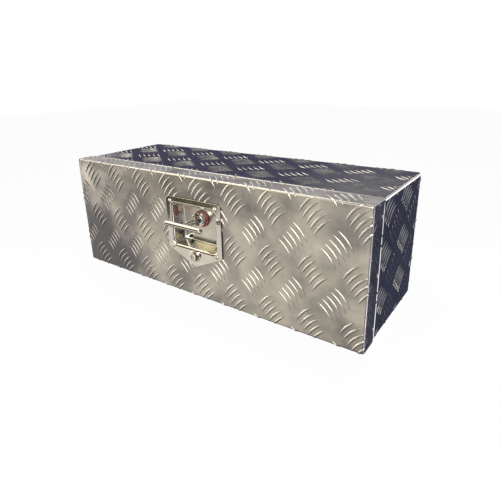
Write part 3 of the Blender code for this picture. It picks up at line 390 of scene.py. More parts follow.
def volume(points, faces):
    """Six times the signed volume inside faces: the sum over triangles of a . (b x c)."""
    total = 0.0
    for block in faces:
        for third in range(2, block.shape[1]):
            a, b, c = points[block[:, 0]], points[block[:, third - 1]], points[block[:, third]]
            total += np.einsum("ij,ij->", a, np.cross(b, c))
    return total


def joined(bodies):
    """Several (points, faces) as one, each turned so that its faces point outwards."""
    points = []
    faces = []
    shift = 0
    for body_points, body_faces in bodies:
        flip = volume(body_points, body_faces) < 0
        points.append(body_points)
        faces += [(block[:, ::-1] if flip else block) + shift for block in body_faces]
        shift += len(body_points)
    return np.concatenate(points), faces


def middle_and_half(low, high):
    """The middle between two corners, and half the way from one to the other."""
    low, high = np.array(low), np.array(high)
    return (low + high) / 2, (high - low) / 2


def block(low, high):
    """A block between two corners."""
    middle, half = middle_and_half(low, high)
    return skin([middle + np.abs(half) * np.insert(SQUARE, 2, way, 1) for way in (-1, 1)])


def turns(count):
    """Angles that share out a full turn."""
    return np.arange(count) / count * math.tau


def profile_mm(*points):
    """Profile points (radius in millimetres, along in metres), both as metres."""
    return np.array(points) * (MM, 1)


def quarter(inner, foot, radius, height, count, first=0):
    """Profile points (inner + radius sin a, foot - height cos a), with a from first to 90 degrees."""
    angle = np.radians(np.linspace(first, 90, count))
    return np.stack([inner + radius * np.sin(angle), foot - height * np.cos(angle)], -1)


def rod(radius, low, high, turn, count, cuts=0):
    """A rod's profile from low to high: quarter circles at both ends, and cuts points between them."""
    start = quarter(radius - turn, low + turn, turn, turn, count)
    between = np.linspace(low + turn, high - turn, cuts + 2)[1:-1]
    end = start[::-1] * (1, -1) + (0, low + high)
    return np.concatenate([start, np.stack([np.full(cuts, radius), between], -1), end])


def revolve(profile, centre, steps=64, axis="Y", closed=False):
    """Profile points (radius, along) turned about Y, or X: centre + (radius cos a, along, radius sin a)."""
    profile = np.asarray(profile, float)
    angle = turns(steps)
    along = np.broadcast_to(profile[:, 1:], (len(profile), steps))
    across = profile[:, :1] * np.cos(angle)
    up = profile[:, :1] * np.sin(angle)
    order = (along, across, up) if axis == "X" else (across, along, up)
    return skin(np.stack(order, -1) + np.asarray(centre, float), closed)


def arc(centre, radius, first, last, steps=8):
    """Points of an arc, centre + radius (cos a, sin a), with a from first to last in degrees."""
    angle = np.radians(np.linspace(first, last, steps + 1))
    return np.stack([centre[0] + radius * np.cos(angle), centre[1] + radius * np.sin(angle)], -1)


def bridged(runs, pieces_in):
    """A closed outline of arcs, each straight between two cut into as many pieces as pieces_in(gap) says."""
    points = []
    for run, following in zip(runs, runs[1:] + runs[:1]):
        gap = following[0] - run[-1]
        pieces = pieces_in(gap)
        share = (np.arange(1, pieces) / pieces)[:, None]
        points += [run, run[-1] + share * gap]
    return np.concatenate(points)


def outline(corners, step=1.0 * MM):
    """A closed outline of corners (u, v, radius): arcs tangent to both sides, and sides cut into steps."""
    runs = []
    for index, (u, v, radius) in enumerate(corners):
        before = corners[index - 1]
        after = corners[(index + 1) % len(corners)]
        to_before = math.atan2(before[1] - v, before[0] - u)
        to_after = math.atan2(after[1] - v, after[0] - u)
        opening = (to_after - to_before + math.pi) % math.tau - math.pi
        half = abs(opening) / 2
        bisector = to_before + opening / 2
        reach = radius / math.sin(half)
        centre = (u + reach * math.cos(bisector), v + reach * math.sin(bisector))
        turn = math.degrees(math.copysign(math.pi - 2 * half, -opening))
        first = math.degrees(bisector) + 180 - turn / 2
        runs.append(arc(centre, radius, first, first + turn, OUTLINE_ARC_STEPS))
    return bridged(runs, lambda gap: max(1, int(np.hypot(*gap) / step)))


def rectangle(centre, half, radius, step=1.0 * MM):
    """The outline of a rectangle with round corners, with its sides cut into steps."""
    corners = np.array(centre) + SQUARE * np.array(half)
    return outline([(*corner, radius) for corner in corners], step)


def framed(centre, half, radius):
    """A rectangle with round corners, as a closed outline whose points match those of any other."""
    corners = np.array(centre) + SQUARE * (np.array(half) - radius)
    runs = [arc(corner, radius, start, start + 90, FRAME_ARC_STEPS)
            for corner, start in zip(corners, (180, 270, 0, 90))]
    return bridged(runs, lambda gap: FRAME_SIDE_STEPS)


def by_angle(shape, centre, angle):
    """A star-shaped outline as points at given angles round a centre, read along its own radius."""
    offset = shape - centre
    own = np.unwrap(np.arctan2(offset[:, 1], offset[:, 0]))
    radius = np.hypot(offset[:, 0], offset[:, 1])
    if own[-1] < own[0]:
        own, radius = own[::-1], radius[::-1]
    own = np.concatenate([own - math.tau, own, own + math.tau])
    reach = np.interp(angle, own, np.tile(radius, 3))
    return centre + np.stack([reach * np.cos(angle), reach * np.sin(angle)], -1)


def ring_at(points, y):
    """Flat points (x, z) as a ring at y."""
    return np.insert(points, 1, y, 1)


def slice_at(points, x):
    """Flat points (y, z) as a ring at x."""
    return np.insert(points, 0, x, 1)


def circle(centre, radius, around, y):
    """A circle as a ring at y: centre + radius (cos a, sin a)."""
    return ring_at(centre + radius * np.stack([np.cos(around), np.sin(around)], -1), y)


# Tread plate bars

SAMPLES = 161
BAR_ROWS = 17
BAR_TAPER = 0.7
BAR_TIP = 0.995

# The bars stop short of the lock plate: at its sides, at its top, and along its two lower edges, which rise
# from the middle at this slope
LOCK_CLEAR_SIDE = PLATE_HALF - 1 * MM
LOCK_CLEAR_TOP = 205 * MM
LOCK_CLEAR_POINT = 68 * MM
LOCK_CLEAR_SLOPE = 32 / 68.5


def folded_past(length, flat, radius):
    """Where a flat length ends up on a sheet that is folded at flat, with its outer radius.

    Up to flat it stays. On the bend the angle is (length - flat) / radius, and it has gone radius sin
    along and radius (1 - cos) down. Past the bend it only goes down. Gives along, down and the angle.
    """
    size = np.abs(length)
    angle = np.clip((size - flat) / radius, 0, math.pi / 2)
    along = np.minimum(size, flat) + radius * np.sin(angle)
    down = radius * (1 - np.cos(angle)) + np.maximum(size - flat - radius * math.pi / 2, 0)
    return np.sign(length) * along, down, np.sign(length) * angle


def onto_door(u, v, height):
    """A flat point on the door's sheet as a point in space: folded back past all four edges."""
    x, down_x, lean_x = folded_past(u, DOOR_FLAT_X, BEND)
    z, down_z, lean_z = folded_past(v - DOOR_MIDDLE_Z, DOOR_FLAT_Z, BEND)
    out = np.cos(lean_x) * np.cos(lean_z)
    y = DOOR_LOW.y + down_x + down_z
    z = DOOR_MIDDLE_Z + z + height * np.sin(lean_z)
    return np.stack([x + height * np.sin(lean_x), y - height * out, z], -1)


def onto_wrap(u, v, height):
    """A flat point on the body's wrap: over the top, down the back and forward under the bottom.

    v is 0 at the front of the top. Both bends turn the sheet by (v - their start) / BEND.
    """
    first = np.clip((v - WRAP_TOP) / BEND, 0, math.pi / 2)
    second = np.clip((v - WRAP_TOP - BEND_CURVE - WRAP_BACK) / BEND, 0, math.pi / 2)
    y = WRAP_LOW.y + BEND + np.clip(v, 0, WRAP_TOP) + BEND * np.sin(first) - BEND * (1 - np.cos(second))
    y = y - np.maximum(v - WRAP_TOP - 2 * BEND_CURVE - WRAP_BACK, 0)
    z = WRAP_HIGH.z - BEND * (1 - np.cos(first)) - np.clip(v - WRAP_TOP - BEND_CURVE, 0, WRAP_BACK)
    z = z - BEND * np.sin(second)
    lean = first + second
    return np.stack([u, y + height * np.sin(lean), z + height * np.cos(lean)], -1)


def onto_end(side):
    """The flat face of an end panel, on the side whose sign is given."""
    return lambda u, v, height: np.stack([side * (END_HIGH.x + height), u, v + 0 * u], -1)


def within(middle, half, less):
    """A test of flat points (u, v): true in a rectangle that is less smaller than half all round."""
    return lambda u, v: (np.abs(u - middle[0]) < half[0] - less) & (np.abs(v - middle[1]) < half[1] - less)


def on_door(u, v):
    """A test of flat points on the door: its face, sides and top and half its underside, round the lock."""
    depth = BEND_CURVE + DOOR_HIGH.y - DOOR_LOW.y - 2 * BEND
    under = depth - (depth - BEND_CURVE) / 2
    past_x = np.abs(u) - DOOR_FLAT_X
    past_z = np.abs(v - DOOR_MIDDLE_Z) - DOOR_FLAT_Z
    side = (past_x < depth) & (past_z < 0)
    top_and_bottom = (past_x < 0) & (past_z < np.where(v > DOOR_MIDDLE_Z, depth, under))
    across = np.abs(u - LOCK_X)
    slant = LOCK_CLEAR_POINT + across * LOCK_CLEAR_SLOPE
    lock = (across < LOCK_CLEAR_SIDE) & (v < LOCK_CLEAR_TOP) & (v > slant)
    return (side | top_and_bottom) & ~lock


def bar_bodies(sizes, low, high, start, turned, allowed, onto):
    """The raised bars of a tread plate between two flat corners.

    Groups of five bars stand on a lattice, leaning one way at its points and the other way at the
    middles of its cells. A bar's line is its chord plus bulge (1 - t^2) across it, with t from -1 to 1.
    Its half width and its height are (1 - t^2)^0.7 of the full ones, and its section is half an ellipse
    on a flat base sunk in the sheet. Its line is cut to the longest run that is allowed.
    """
    pitch = np.array([sizes.pitch_across, sizes.pitch_up])
    reach = int(max(high[0] - low[0], high[1] - low[1]) / min(pitch)) + 2
    cells = np.stack(np.meshgrid(*[np.arange(-reach, reach)] * 2), -1).reshape(-1, 2)
    chord, stack = math.radians(sizes.chord_angle), math.radians(sizes.stack_angle)
    lines = []
    for hand, shift in ((1, (0, 0)), (-1, (sizes.half_shift, 0))):
        group = (cells + (1 - hand) / 4) * pitch + np.array(shift)
        along = np.array([hand * math.cos(chord), math.sin(chord)])
        across = np.array([-hand * math.sin(chord), math.cos(chord)])
        apart = np.array([hand * math.cos(stack), math.sin(stack)])
        offset = np.arange(-2, 3)[:, None] * sizes.spacing * apart
        middle = (group[:, None] + offset[None]).reshape(-1, 2)
        lines.append((middle, np.broadcast_to(along, middle.shape), np.broadcast_to(across, middle.shape)))
    middle, along, across = (np.concatenate(part) for part in zip(*lines))
    if turned:
        middle, along, across = (np.stack([-part[:, 1], part[:, 0]], -1) for part in (middle, along, across))
    middle = middle + np.array(start)
    margin = sizes.bar_length
    near = np.all((middle > np.array(low) - margin) & (middle < np.array(high) + margin), 1)
    middle, along, across = middle[near], along[near], across[near]

    def line(t):
        shift = sizes.bulge * (1 - t**2) - sizes.bulge * 2 / 3
        return (middle[:, None] + along[:, None] * (t * sizes.bar_length / 2)[..., None]
                + across[:, None] * shift[..., None])

    spots = line(np.broadcast_to(np.linspace(-1, 1, SAMPLES), (len(middle), SAMPLES)))
    good = allowed(spots[..., 0], spots[..., 1])
    order = np.arange(SAMPLES)
    run = order - np.maximum.accumulate(np.where(good, -1, order), 1)
    run_end, run_length = run.argmax(1), run.max(1)
    half_count = (SAMPLES - 1) / 2
    kept = run_length * sizes.bar_length / (SAMPLES - 1) > sizes.shortest
    middle, along, across = middle[kept], along[kept], across[kept]
    t_end = run_end[kept] / half_count - 1
    t_start = t_end - (run_length[kept] - 1) / half_count
    ease = (1 - np.cos(np.linspace(0, math.pi, BAR_ROWS))) / 2
    t = np.clip(t_start[:, None] + (t_end - t_start)[:, None] * ease, -BAR_TIP, BAR_TIP)
    centre = line(t)
    taper = np.clip(1 - t**2, 0, 1) ** BAR_TAPER
    tangent = along[:, None] * sizes.bar_length / 2 - across[:, None] * (2 * sizes.bulge * t)[..., None]
    tangent /= np.linalg.norm(tangent, axis=-1, keepdims=True)
    normal = np.stack([-tangent[..., 1], tangent[..., 0]], -1)
    angle = np.radians([0, 25, 55, 90, 125, 155, 180])
    sideways = np.concatenate([np.cos(angle), [-1.0, 1.0]])
    height = np.concatenate([np.sin(angle), [0.0, 0.0]])
    sunk = np.repeat([0.0, BAR_SUNK], (len(angle), 2))
    half_width = sizes.bar_width / 2 * taper
    flat = centre[:, :, None] + normal[:, :, None] * (half_width[..., None] * sideways)[..., None]
    return skin(onto(flat[..., 0], flat[..., 1], BAR_HEIGHT * taper[..., None] * height - sunk))


# Settings


def length(name, description, default):
    """A length property."""
    return bpy.props.FloatProperty(name=name, description=description, default=default, min=0.0,
                                   subtype="DISTANCE", unit="LENGTH", precision=5)


def angle(name, description, default):
    """An angle property in degrees."""
    return bpy.props.FloatProperty(name=name, description=description, default=default)


def tint(name, description, default):
    """A colour property."""
    return bpy.props.FloatVectorProperty(name=name, description=description, default=default, size=3,
                                         subtype="COLOR", min=0.0, max=1.0)


def amount(name, description, default, unit="NONE"):
    """A property for a lamp's power or for a plain strength."""
    return bpy.props.FloatProperty(name=name, description=description, default=default, min=0.0, unit=unit)


class BoxTread(bpy.types.PropertyGroup):
    """Sizes of the five-bar tread pattern"""

    bar_length: length("Bar length", "Chord of one raised bar", 44.0 * MM)
    bar_width: length("Bar width", "Width of a bar at its middle", 4.5 * MM)
    bulge: length("Bulge", "How far a bar's line arches from its chord", 3.3 * MM)
    spacing: length("Spacing", "Distance from bar to bar in a group", 11.0 * MM)
    pitch_across: length("Pitch across", "Distance from group to group across the pattern", 79.0 * MM)
    pitch_up: length("Pitch up", "Distance from group to group up the pattern", 97.5 * MM)
    half_shift: length("Half shift", "How far the second hand's groups sit beyond half a pitch", 3.0 * MM)
    shortest: length("Shortest bar", "Bars cut shorter than this are left out", 5.0 * MM)
    chord_angle: angle("Chord angle", "Lean of a bar's chord in degrees", 48.5)
    stack_angle: angle("Stack angle", "Direction from bar to bar in degrees", -51.0)


class BoxLock(bpy.types.PropertyGroup):
    """Sizes of the folding T-handle lock"""

    edge_round: length("Edge round", "Rounding of the pressed plate's rim", 0.5 * MM)
    mouth_round: length("Mouth round", "Rounding where the plate turns down into its dish", 5.0 * MM)
    floor_round: length("Floor round", "Rounding between the dish's wall and its floor", 4.0 * MM)
    crossbar_round: length("Crossbar round", "Rounding of the crossbar's ends", 2.2 * MM)
    neck_flare: length("Neck flare", "How far the stem widens where it meets the crossbar", 2.0 * MM)


class BoxFinish(bpy.types.PropertyGroup):
    """Colours of the box's finishes"""

    aluminium: tint("Aluminium", "Rolled sheet", (0.60, 0.58, 0.55))
    # Also the painted shade towards the door's lower left corner
    door: tint("Door", "The door's sheet, where it is stained", (0.175, 0.178, 0.20))
    # Also the painted light on the top strip and the painted highlight on the bend over the face
    door_clean_and_highlit: tint("Door, bright", "The door's sheet where it is clean", (0.86, 0.82, 0.75))
    aluminium_worn: tint("Aluminium, bright", "Rolled sheet where it has been rubbed", (0.72, 0.70, 0.66))
    crown: tint("Crowns", "The crowns of the raised bars", (0.66, 0.64, 0.60))
    # Painted shade: a darker crown colour for the door's bars towards the left end and for the bars on top
    crown_shaded: tint("Crowns, dull", "The crowns where they are dirty", (0.30, 0.29, 0.29))
    # The door's bars on the top strip are also lifted to this colour as painted light
    crown_bright: tint("Crowns, bright", "The crowns where they are rubbed", (0.80, 0.78, 0.73))
    plain: tint("Plain aluminium", "Mill finish sheet", (0.66, 0.66, 0.66))
    stainless: tint("Stainless", "Pressed and polished stainless steel", (0.69, 0.68, 0.63))
    chrome: tint("Chrome", "The handle and the rivets", (0.82, 0.80, 0.76))
    zinc: tint("Zinc", "Zinc plated steel", (0.60, 0.61, 0.60))
    brass: tint("Nickel plated brass", "The key plug", (0.70, 0.68, 0.62))
    black_rubber: tint("Black rubber", "Seal, gasket and bumpers", (0.020, 0.020, 0.021))
    black_dusty: tint("Black rubber, dusty", "The same where it is dusty", (0.06, 0.06, 0.058))
    red_rubber: tint("Red rubber", "The ring round the spindle", (0.30, 0.06, 0.055))
    # Pink where dusty, and partly a painted sheen on the ring
    red_dust_and_sheen: tint("Red rubber, dusty", "The same where it is dusty", (0.60, 0.26, 0.22))


class BoxStage(bpy.types.PropertyGroup):
    """Floor, light and surroundings"""

    drop: length("Drop", "How far the floor lies below the box, which stands on a plinth", 0.12)
    overhead: amount("Overhead light", "Power of the overhead light", 22.0, "POWER")
    side: amount("Side light", "Power of the light from the right", 6.0, "POWER")
    fill: amount("Fill", "Strength of the plain surrounding light", 0.7)


# Stage

# The photograph's camera, as fitted to the box: its turns in degrees, its place from the box's origin along
# its own axes (right, down and ahead), and its focal length as a share of the frame's width
CAMERA_TURNS = (("Z", -1.236), ("X", 19.231), ("Y", 35.66))
CAMERA_PLACE = (33.16 * MM, -119.83 * MM, -966.94 * MM)
FOCAL_SHARE = 426.73 / 500
SENSOR = 36.0

# Each lamp's place, target, size and colour
LAMPS = {
    "overhead": ((0.35, -0.75, 1.55), (0, -0.05, 0.1), (1.5, 0.8), (1.0, 0.98, 0.94)),
    "side": ((1.7, -0.9, 0.9), (0.1, -0.1, 0.12), (0.6, 1.0), (1.0, 0.98, 0.95)),
}

# What the metal reflects: soft patches round a direction, with the degrees at which each starts to fade and
# is gone, and its colour. A later patch lies over the earlier ones.
REFLECTED = (
    ("overhead haze", (0.0, 0.25, 0.97), 32, 58, (0.50, 0.50, 0.53)),
    ("shade behind", (0.24, 0.89, -0.38), 12, 24, (0.045, 0.050, 0.085)),
    ("bright sky behind", (0.25, 0.93, 0.25), 10, 16, (2.00, 2.00, 2.20)),
    ("haze behind", (-0.28, 0.90, 0.36), 5, 13, (0.20, 0.20, 0.23)),
    ("warm ground ahead", (-0.32, -0.86, -0.40), 26, 56, (0.68, 0.635, 0.56)),
    ("shade underfoot", (0.0, -0.35, -0.93), 22, 34, (0.05, 0.05, 0.05)),
    ("shade low at the left", (-0.80, 0.10, -0.60), 20, 32, (0.05, 0.05, 0.06)),
    ("warm ground further left", (-0.76, -0.60, -0.30), 10, 24, (0.84, 0.77, 0.69)),
    ("pale ground at the right", (0.88, -0.06, -0.47), 14, 20, (1.90, 1.86, 2.10)),
    ("hedge at the right", (0.878, -0.467, -0.105), 12.5, 13.5, (0.05, 0.045, 0.055)),
    ("hedge further round", (0.703, -0.703, -0.105), 12.5, 13.5, (0.05, 0.045, 0.055)),
    ("haze at the right", (0.94, 0.21, 0.26), 20, 40, (0.14, 0.15, 0.20)),
    ("bright wall at the left", (-0.98, -0.02, 0.06), 17, 28, (4.60, 4.36, 3.86)),
    ("kerb at the left", (-0.96, 0.08, -0.26), 11, 20, (0.72, 0.69, 0.64)),
    ("bright wall far left", (-0.90, 0.42, 0.12), 8, 13, (1.10, 1.07, 1.12)),
    ("bright sky in front", (0.14, -0.93, 0.32), 18, 25, (4.20, 3.98, 3.52)),
    ("pale sky at the left", (-0.62, -0.12, 0.78), 12, 18, (2.90, 2.80, 2.60)),
    ("low sun at the left", (-0.60, -0.63, 0.49), 11, 15, (1.30, 1.12, 0.66)),
    ("lintel ahead", (-0.66, -0.73, 0.10), 12, 13, (0.03, 0.028, 0.02)),
    ("doorway further left", (-0.722, -0.660, -0.200), 6.6, 7.4, (0.085, 0.070, 0.055)),
    ("doorway ahead", (-0.664, -0.722, -0.194), 6.6, 7.4, (0.085, 0.080, 0.045)),
)


def add_camera():
    """The camera at the photograph's viewing angle."""
    turn = Matrix.Identity(3)
    for axis, degrees in CAMERA_TURNS:
        turn = turn @ Matrix.Rotation(math.radians(degrees), 3, axis)
    back = (turn @ Matrix(((1, 0, 0), (0, 0, -1), (0, 1, 0)))).transposed()
    matrix = (back @ Matrix.Diagonal((1, -1, -1))).to_4x4()
    matrix.translation = back @ Vector(CAMERA_PLACE)
    data = bpy.data.cameras.new("camera")
    data.sensor_width = SENSOR
    data.lens = SENSOR * FOCAL_SHARE
    data.shift_x = 0.0006
    data.shift_y = -0.0590
    data.clip_start = 10 * MM
    camera = new_object("camera", data)
    camera.matrix_world = matrix
    bpy.context.scene.camera = camera


def add_lamp(name, power, place, target, size, colour):
    """A rectangular lamp that looks from its place to a target. Neither the camera nor gloss sees it."""
    data = bpy.data.lights.new(name, "AREA")
    data.shape = "RECTANGLE"
    data.size, data.size_y = size
    data.energy = power
    data.color = colour
    light = new_object(name, data)
    light.location = place
    light.rotation_euler = (Vector(target) - Vector(place)).to_track_quat("-Z", "Y").to_euler()
    light.visible_camera = False
    light.visible_glossy = False


def world_light(fill):
    """White where the camera sees it, plain grey for matt surfaces, and an open yard's tones in gloss.

    The gloss tones depend on the direction alone: slate in front and navy behind, under the soft patches. A
    patch's share is a smooth step of the cosine between a direction and the patch's own.
    """
    world = bpy.data.worlds.new("studio")
    bpy.context.scene.world = world
    world.use_nodes = True
    drawing = Drawing(world.node_tree)
    direction = drawing.node("ShaderNodeTexCoord", output="Generated")
    behind = drawing.remap(drawing.part("Y", direction), -0.3, 0.4)
    tone = drawing.mix(behind, (0.12, 0.125, 0.14), (0.064, 0.061, 0.115))
    for _, centre, inner, outer, colour in REFLECTED:
        near = drawing.node("ShaderNodeVectorMath", {"operation": "DOT_PRODUCT"},
                            {0: direction, 1: Vector(centre).normalized()}, output="Value")
        share = drawing.node("ShaderNodeMapRange", {"interpolation_type": "SMOOTHSTEP"}, {
            "Value": near, "From Min": math.cos(math.radians(outer)),
            "From Max": math.cos(math.radians(inner))})
        tone = drawing.mix(share, tone, colour)
    plain, toned, white = (drawing.glow("ShaderNodeBackground", colour, strength) for colour, strength in (
        ((0.9, 0.9, 0.9), fill), (tone, 1.0), ((1, 1, 1), 1.0)))
    unseen = drawing.blend(drawing.node("ShaderNodeLightPath", output="Is Glossy Ray"), plain, toned)
    drawing.node("ShaderNodeOutputWorld", {}, {"Surface": drawing.blend(drawing.in_sight(), unseen, white)})


def floor_material():
    """A pale matt floor, lifted to white for the camera, which keeps the object's shadow."""
    material, drawing = new_material("pale floor")
    matt = drawing.node("ShaderNodeBsdfDiffuse", {}, {"Color": (0.9, 0.9, 0.9, 1)})
    glow = drawing.glow("ShaderNodeEmission", (1, 1, 1), 1.0)
    shader = drawing.blend(drawing.in_sight() * 0.93, matt, glow)
    drawing.node("ShaderNodeOutputMaterial", {}, {"Surface": shader})
    return material


class BOX_OT_stage(bpy.types.Operator):
    """Adds the camera, the lamps, the surroundings, the floor and the plinth"""

    bl_idname = "storage_box.stage"
    bl_label = "Stage"

    def execute(self, context):
        stage = context.scene.box_stage
        context.scene.view_settings.view_transform = "Standard"
        add_camera()
        world_light(stage.fill)
        for name, lamp in LAMPS.items():
            add_lamp(name, getattr(stage, name), *lamp)
        material = floor_material()
        sheet = np.insert(SQUARE * 6.0, 2, -stage.drop, 1), [np.array([(0, 1, 2, 3)])]
        plinth = joined([block((-0.34, -0.07, -stage.drop), (0.34, 0.12, -1.6 * MM))])
        for name, body in (("floor", sheet), ("plinth", plinth)):
            ground = mesh_object(name, *body)
            ground.data.materials.append(material)
            ground.visible_glossy = False
        return {"FINISHED"}


# Finishes


class BOX_OT_finishes(bpy.types.Operator):
    """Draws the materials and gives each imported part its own"""

    bl_idname = "storage_box.finishes"
    bl_label = "Finishes"

    def execute(self, context):
        """Each row holds a finish's colour, its worn colour, how metallic and how rough it is, its pattern
        and its coat, if any. On some rows the two colours also hold painted shade and painted light."""
        colour = context.scene.box_finish
        table = {
            "tread_plate": (colour.aluminium, colour.aluminium_worn, 1.0, 0.20, rolled_pattern),
            "door_plate": (colour.door, colour.door_clean_and_highlit, 1.0, 0.34, door_pattern),
            "crown": (colour.crown, colour.crown_bright, 1.0, 0.22, crown_pattern),
            "door_crown": (colour.crown_shaded, colour.crown_bright, 1.0, 0.22, door_crown_pattern),
            # The bars on top: a darker copy of the crowns, painted shade that dims their glints
            "top_crown": (colour.crown_shaded, colour.crown, 1.0, 0.26, top_crown_pattern),
            "weld": (colour.crown, colour.crown_bright, 1.0, 0.30, weld_pattern),
            "plain_aluminium": (colour.plain, colour.aluminium_worn, 1.0, 0.38, rolled_pattern),
            "polished_stainless": (colour.stainless, colour.chrome, 1.0, 0.09, pressed_pattern),
            "chrome": (colour.chrome, colour.crown_bright, 1.0, 0.08, bright_pattern),
            "zinc_steel": (colour.zinc, colour.chrome, 1.0, 0.36, zinc_pattern),
            "nickel_brass": (colour.brass, colour.chrome, 1.0, 0.22, bright_pattern),
            "black_rubber": (colour.black_rubber, colour.black_dusty, 0.0, 0.68, rubber_pattern),
            "red_rubber": (colour.red_rubber, colour.red_dust_and_sheen, 0.0, 0.24, rubber_pattern, 1.0),
        }
        for name, (base, worn_and_lit, *rest) in table.items():
            FINISHES[name] = finish_material(name, tuple(base), tuple(worn_and_lit), *rest)
        for name, node in NODES.items():
            node.data.materials.clear()
            node.data.materials.append(FINISHES[SLOT_OF[name]])
        return {"FINISHED"}


# Folded sheets


def barrel_hole():
    """A short cylinder, 0.1 mm wider than the push lock's barrel, through the lock plate, gasket and door."""
    front, rear = PLATE_FRONT - 2 * MM, DOOR_LOW.y + SHEET + 2 * MM
    return revolve(profile_mm((0.5, front), (11.4, front), (11.4, rear), (0.5, rear)), (LOCK_X, 0, KEY_Z))


def cut_out(piece, body):
    """Takes a body out of a piece."""
    cutter = mesh_object("cutter", *joined([body]))
    modifier = piece.modifiers.new("Cut", "BOOLEAN")
    modifier.object = cutter
    bpy.context.view_layer.update()
    spent = (piece.data, cutter.data)
    piece.data = bpy.data.meshes.new_from_object(piece.evaluated_get(bpy.context.evaluated_depsgraph_get()))
    piece.modifiers.clear()
    bpy.data.objects.remove(cutter)
    for mesh in spent:
        bpy.data.meshes.remove(mesh)
    piece.data.set_sharp_from_angle(angle=CREASE)


def round_bend(centre, half, depth, last):
    """A skin's outlines round its bend, each with its rise over the bend's centre line.

    At angle a, from 0 to last degrees, the outline's half size is half - BEND + radius sin a and the rise is
    radius cos a. The radius is BEND less depth, which is 0 on the outer skin and SHEET on the inner one.
    """
    radius = BEND - depth
    for a in np.radians(np.linspace(0, last, BEND_STEPS * last // 90 + 1)):
        reach = radius * math.sin(a)
        yield framed(centre, half - BEND + reach, max(reach, GAP)), radius * math.cos(a)


def door_pan():
    """Rings run from the lock's hole over the face, the sides and the return lips, and back inside."""
    centre, half = middle_and_half(DOOR_LOW.xz, DOOR_HIGH.xz)
    hole = framed(DISH_MIDDLE, DISH_HALF + 2.5 * MM, 10 * MM)
    skins = []
    for depth in (0, SHEET):
        rings = [ring_at(hole, DOOR_LOW.y + depth)]
        for turned, rise in round_bend(centre, half, depth, 180):
            rings.append(ring_at(turned, (DOOR_LOW.y + BEND if rise >= 0 else DOOR_HIGH.y - BEND) - rise))
        rings.append(ring_at(framed(centre, half - DOOR_LIP, GAP), DOOR_HIGH.y - depth))
        skins.append(rings)
    pan = as_piece("folded_door_pan", [skin(skins[0] + skins[1][::-1], closed=True)], "door_plate", "door",
                   "door_skin")
    inside = DOOR_HIGH.x - SHEET - GAP
    cut_out(pan, block((-inside, DOOR_HIGH.y - BEND - GAP, DOOR_LOW.z - BEND),
                       (inside, DOOR_HIGH.y + BEND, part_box("door_sill_angle")[1].z + GAP)))
    cut_out(pan, barrel_hole())


def body_wrap():
    """A strip's section of four corners is carried along the wrap's side view, from lip to lip."""
    middle, half = middle_and_half(WRAP_LOW.yz, WRAP_HIGH.yz)
    skins = []
    for depth in (0, SHEET):
        path = [[(WRAP_LOW.y + depth, WRAP_HIGH.z - LIP)]]
        for signs, first in (((-1, 1), 180), ((1, 1), 90), ((1, -1), 0), ((-1, -1), -90)):
            path.append(arc(middle + signs * (half - BEND), BEND - depth, first, first - 90))
        path.append([(WRAP_LOW.y + depth, WRAP_LOW.z + LIP)])
        skins.append(np.concatenate(path))
    outer, inner = skins
    rows = [slice_at(side, x) for side, x in (
        (outer, WRAP_LOW.x), (outer, WRAP_HIGH.x), (inner, WRAP_HIGH.x), (inner, WRAP_LOW.x))]
    as_piece("folded_body_wrap", [skin(np.stack(rows, 1))], "tread_plate", "body", "body_wrap")


def end_pan(side, word):
    """Rings run from the middle of the face over the bends to the flanges' ends, and back inside."""
    centre, half = middle_and_half(END_LOW.yz, END_HIGH.yz)
    skins = []
    for depth in (0, SHEET):
        rings = [slice_at(turned, side * (END_HIGH.x - BEND + rise))
                 for turned, rise in round_bend(centre, half, depth, 90)]
        skins.append([*rings, slice_at(rings[-1][:, 1:], side * (END_HIGH.x - LIP))])
    pan = as_piece(f"folded_end_pan_{word}", [skin(skins[0] + skins[1][::-1])], "tread_plate", "body",
                   f"end_panel_{word}")
    far = side * (WRAP_HIGH.x + GAP)
    near = far - side * (LIP + 5 * MM)
    front = WRAP_LOW.y + BEND + GAP
    for bottom, top in ((-5 * MM, LIP + GAP), (WRAP_HIGH.z - LIP - GAP, WRAP_HIGH.z + 5 * MM)):
        cut_out(pan, block((near, front - 10 * MM, bottom), (far, front, top)))


class BOX_OT_sheets(bpy.types.Operator):
    """Adds the folded sheets: the door's pan, the body's wrap and its two end pans"""

    bl_idname = "storage_box.sheets"
    bl_label = "Folded sheets"

    def execute(self, context):
        door_pan()
        body_wrap()
        end_pan(-1, "left")
        end_pan(1, "right")
        return {"FINISHED"}


class BOX_OT_tread(bpy.types.Operator):
    """Adds the raised bars to the door, the wrap and both end panels"""

    bl_idname = "storage_box.tread"
    bl_label = "Tread bars"

    def execute(self, context):
        sizes = context.scene.box_tread
        depth = BEND_CURVE + DOOR_HIGH.y - DOOR_LOW.y - 2 * BEND
        x, z = DOOR_FLAT_X + depth, DOOR_FLAT_Z + depth
        bars = bar_bodies(sizes, (-x, DOOR_MIDDLE_Z - z), (x, DOOR_MIDDLE_Z + z), (97 * MM, 25 * MM), False,
                          on_door, onto_door)
        as_piece("tread_bars_door", [bars], "door_crown", "door")

        total = 2 * WRAP_TOP + WRAP_BACK + 2 * BEND_CURVE
        on_wrap = within((0, total / 2), (WRAP_HIGH.x, total / 2), 0.8 * MM)
        bars = bar_bodies(sizes, (WRAP_LOW.x, 0), (WRAP_HIGH.x, total), (50 * MM, 70.5 * MM), True, on_wrap,
                          onto_wrap)
        as_piece("tread_bars_wrap", [bars], "top_crown", "body")

        low, high = np.array(END_LOW.yz) + BEND, np.array(END_HIGH.yz) - BEND
        on_end = within(*middle_and_half(low, high), 0)
        for side, word in ((-1, "left"), (1, "right")):
            bars = bar_bodies(sizes, low, high, (-8 * MM, 104 * MM), True, on_end, onto_end(side))
            as_piece(f"tread_bars_end_{word}", [bars], "crown", "body")
        return {"FINISHED"}


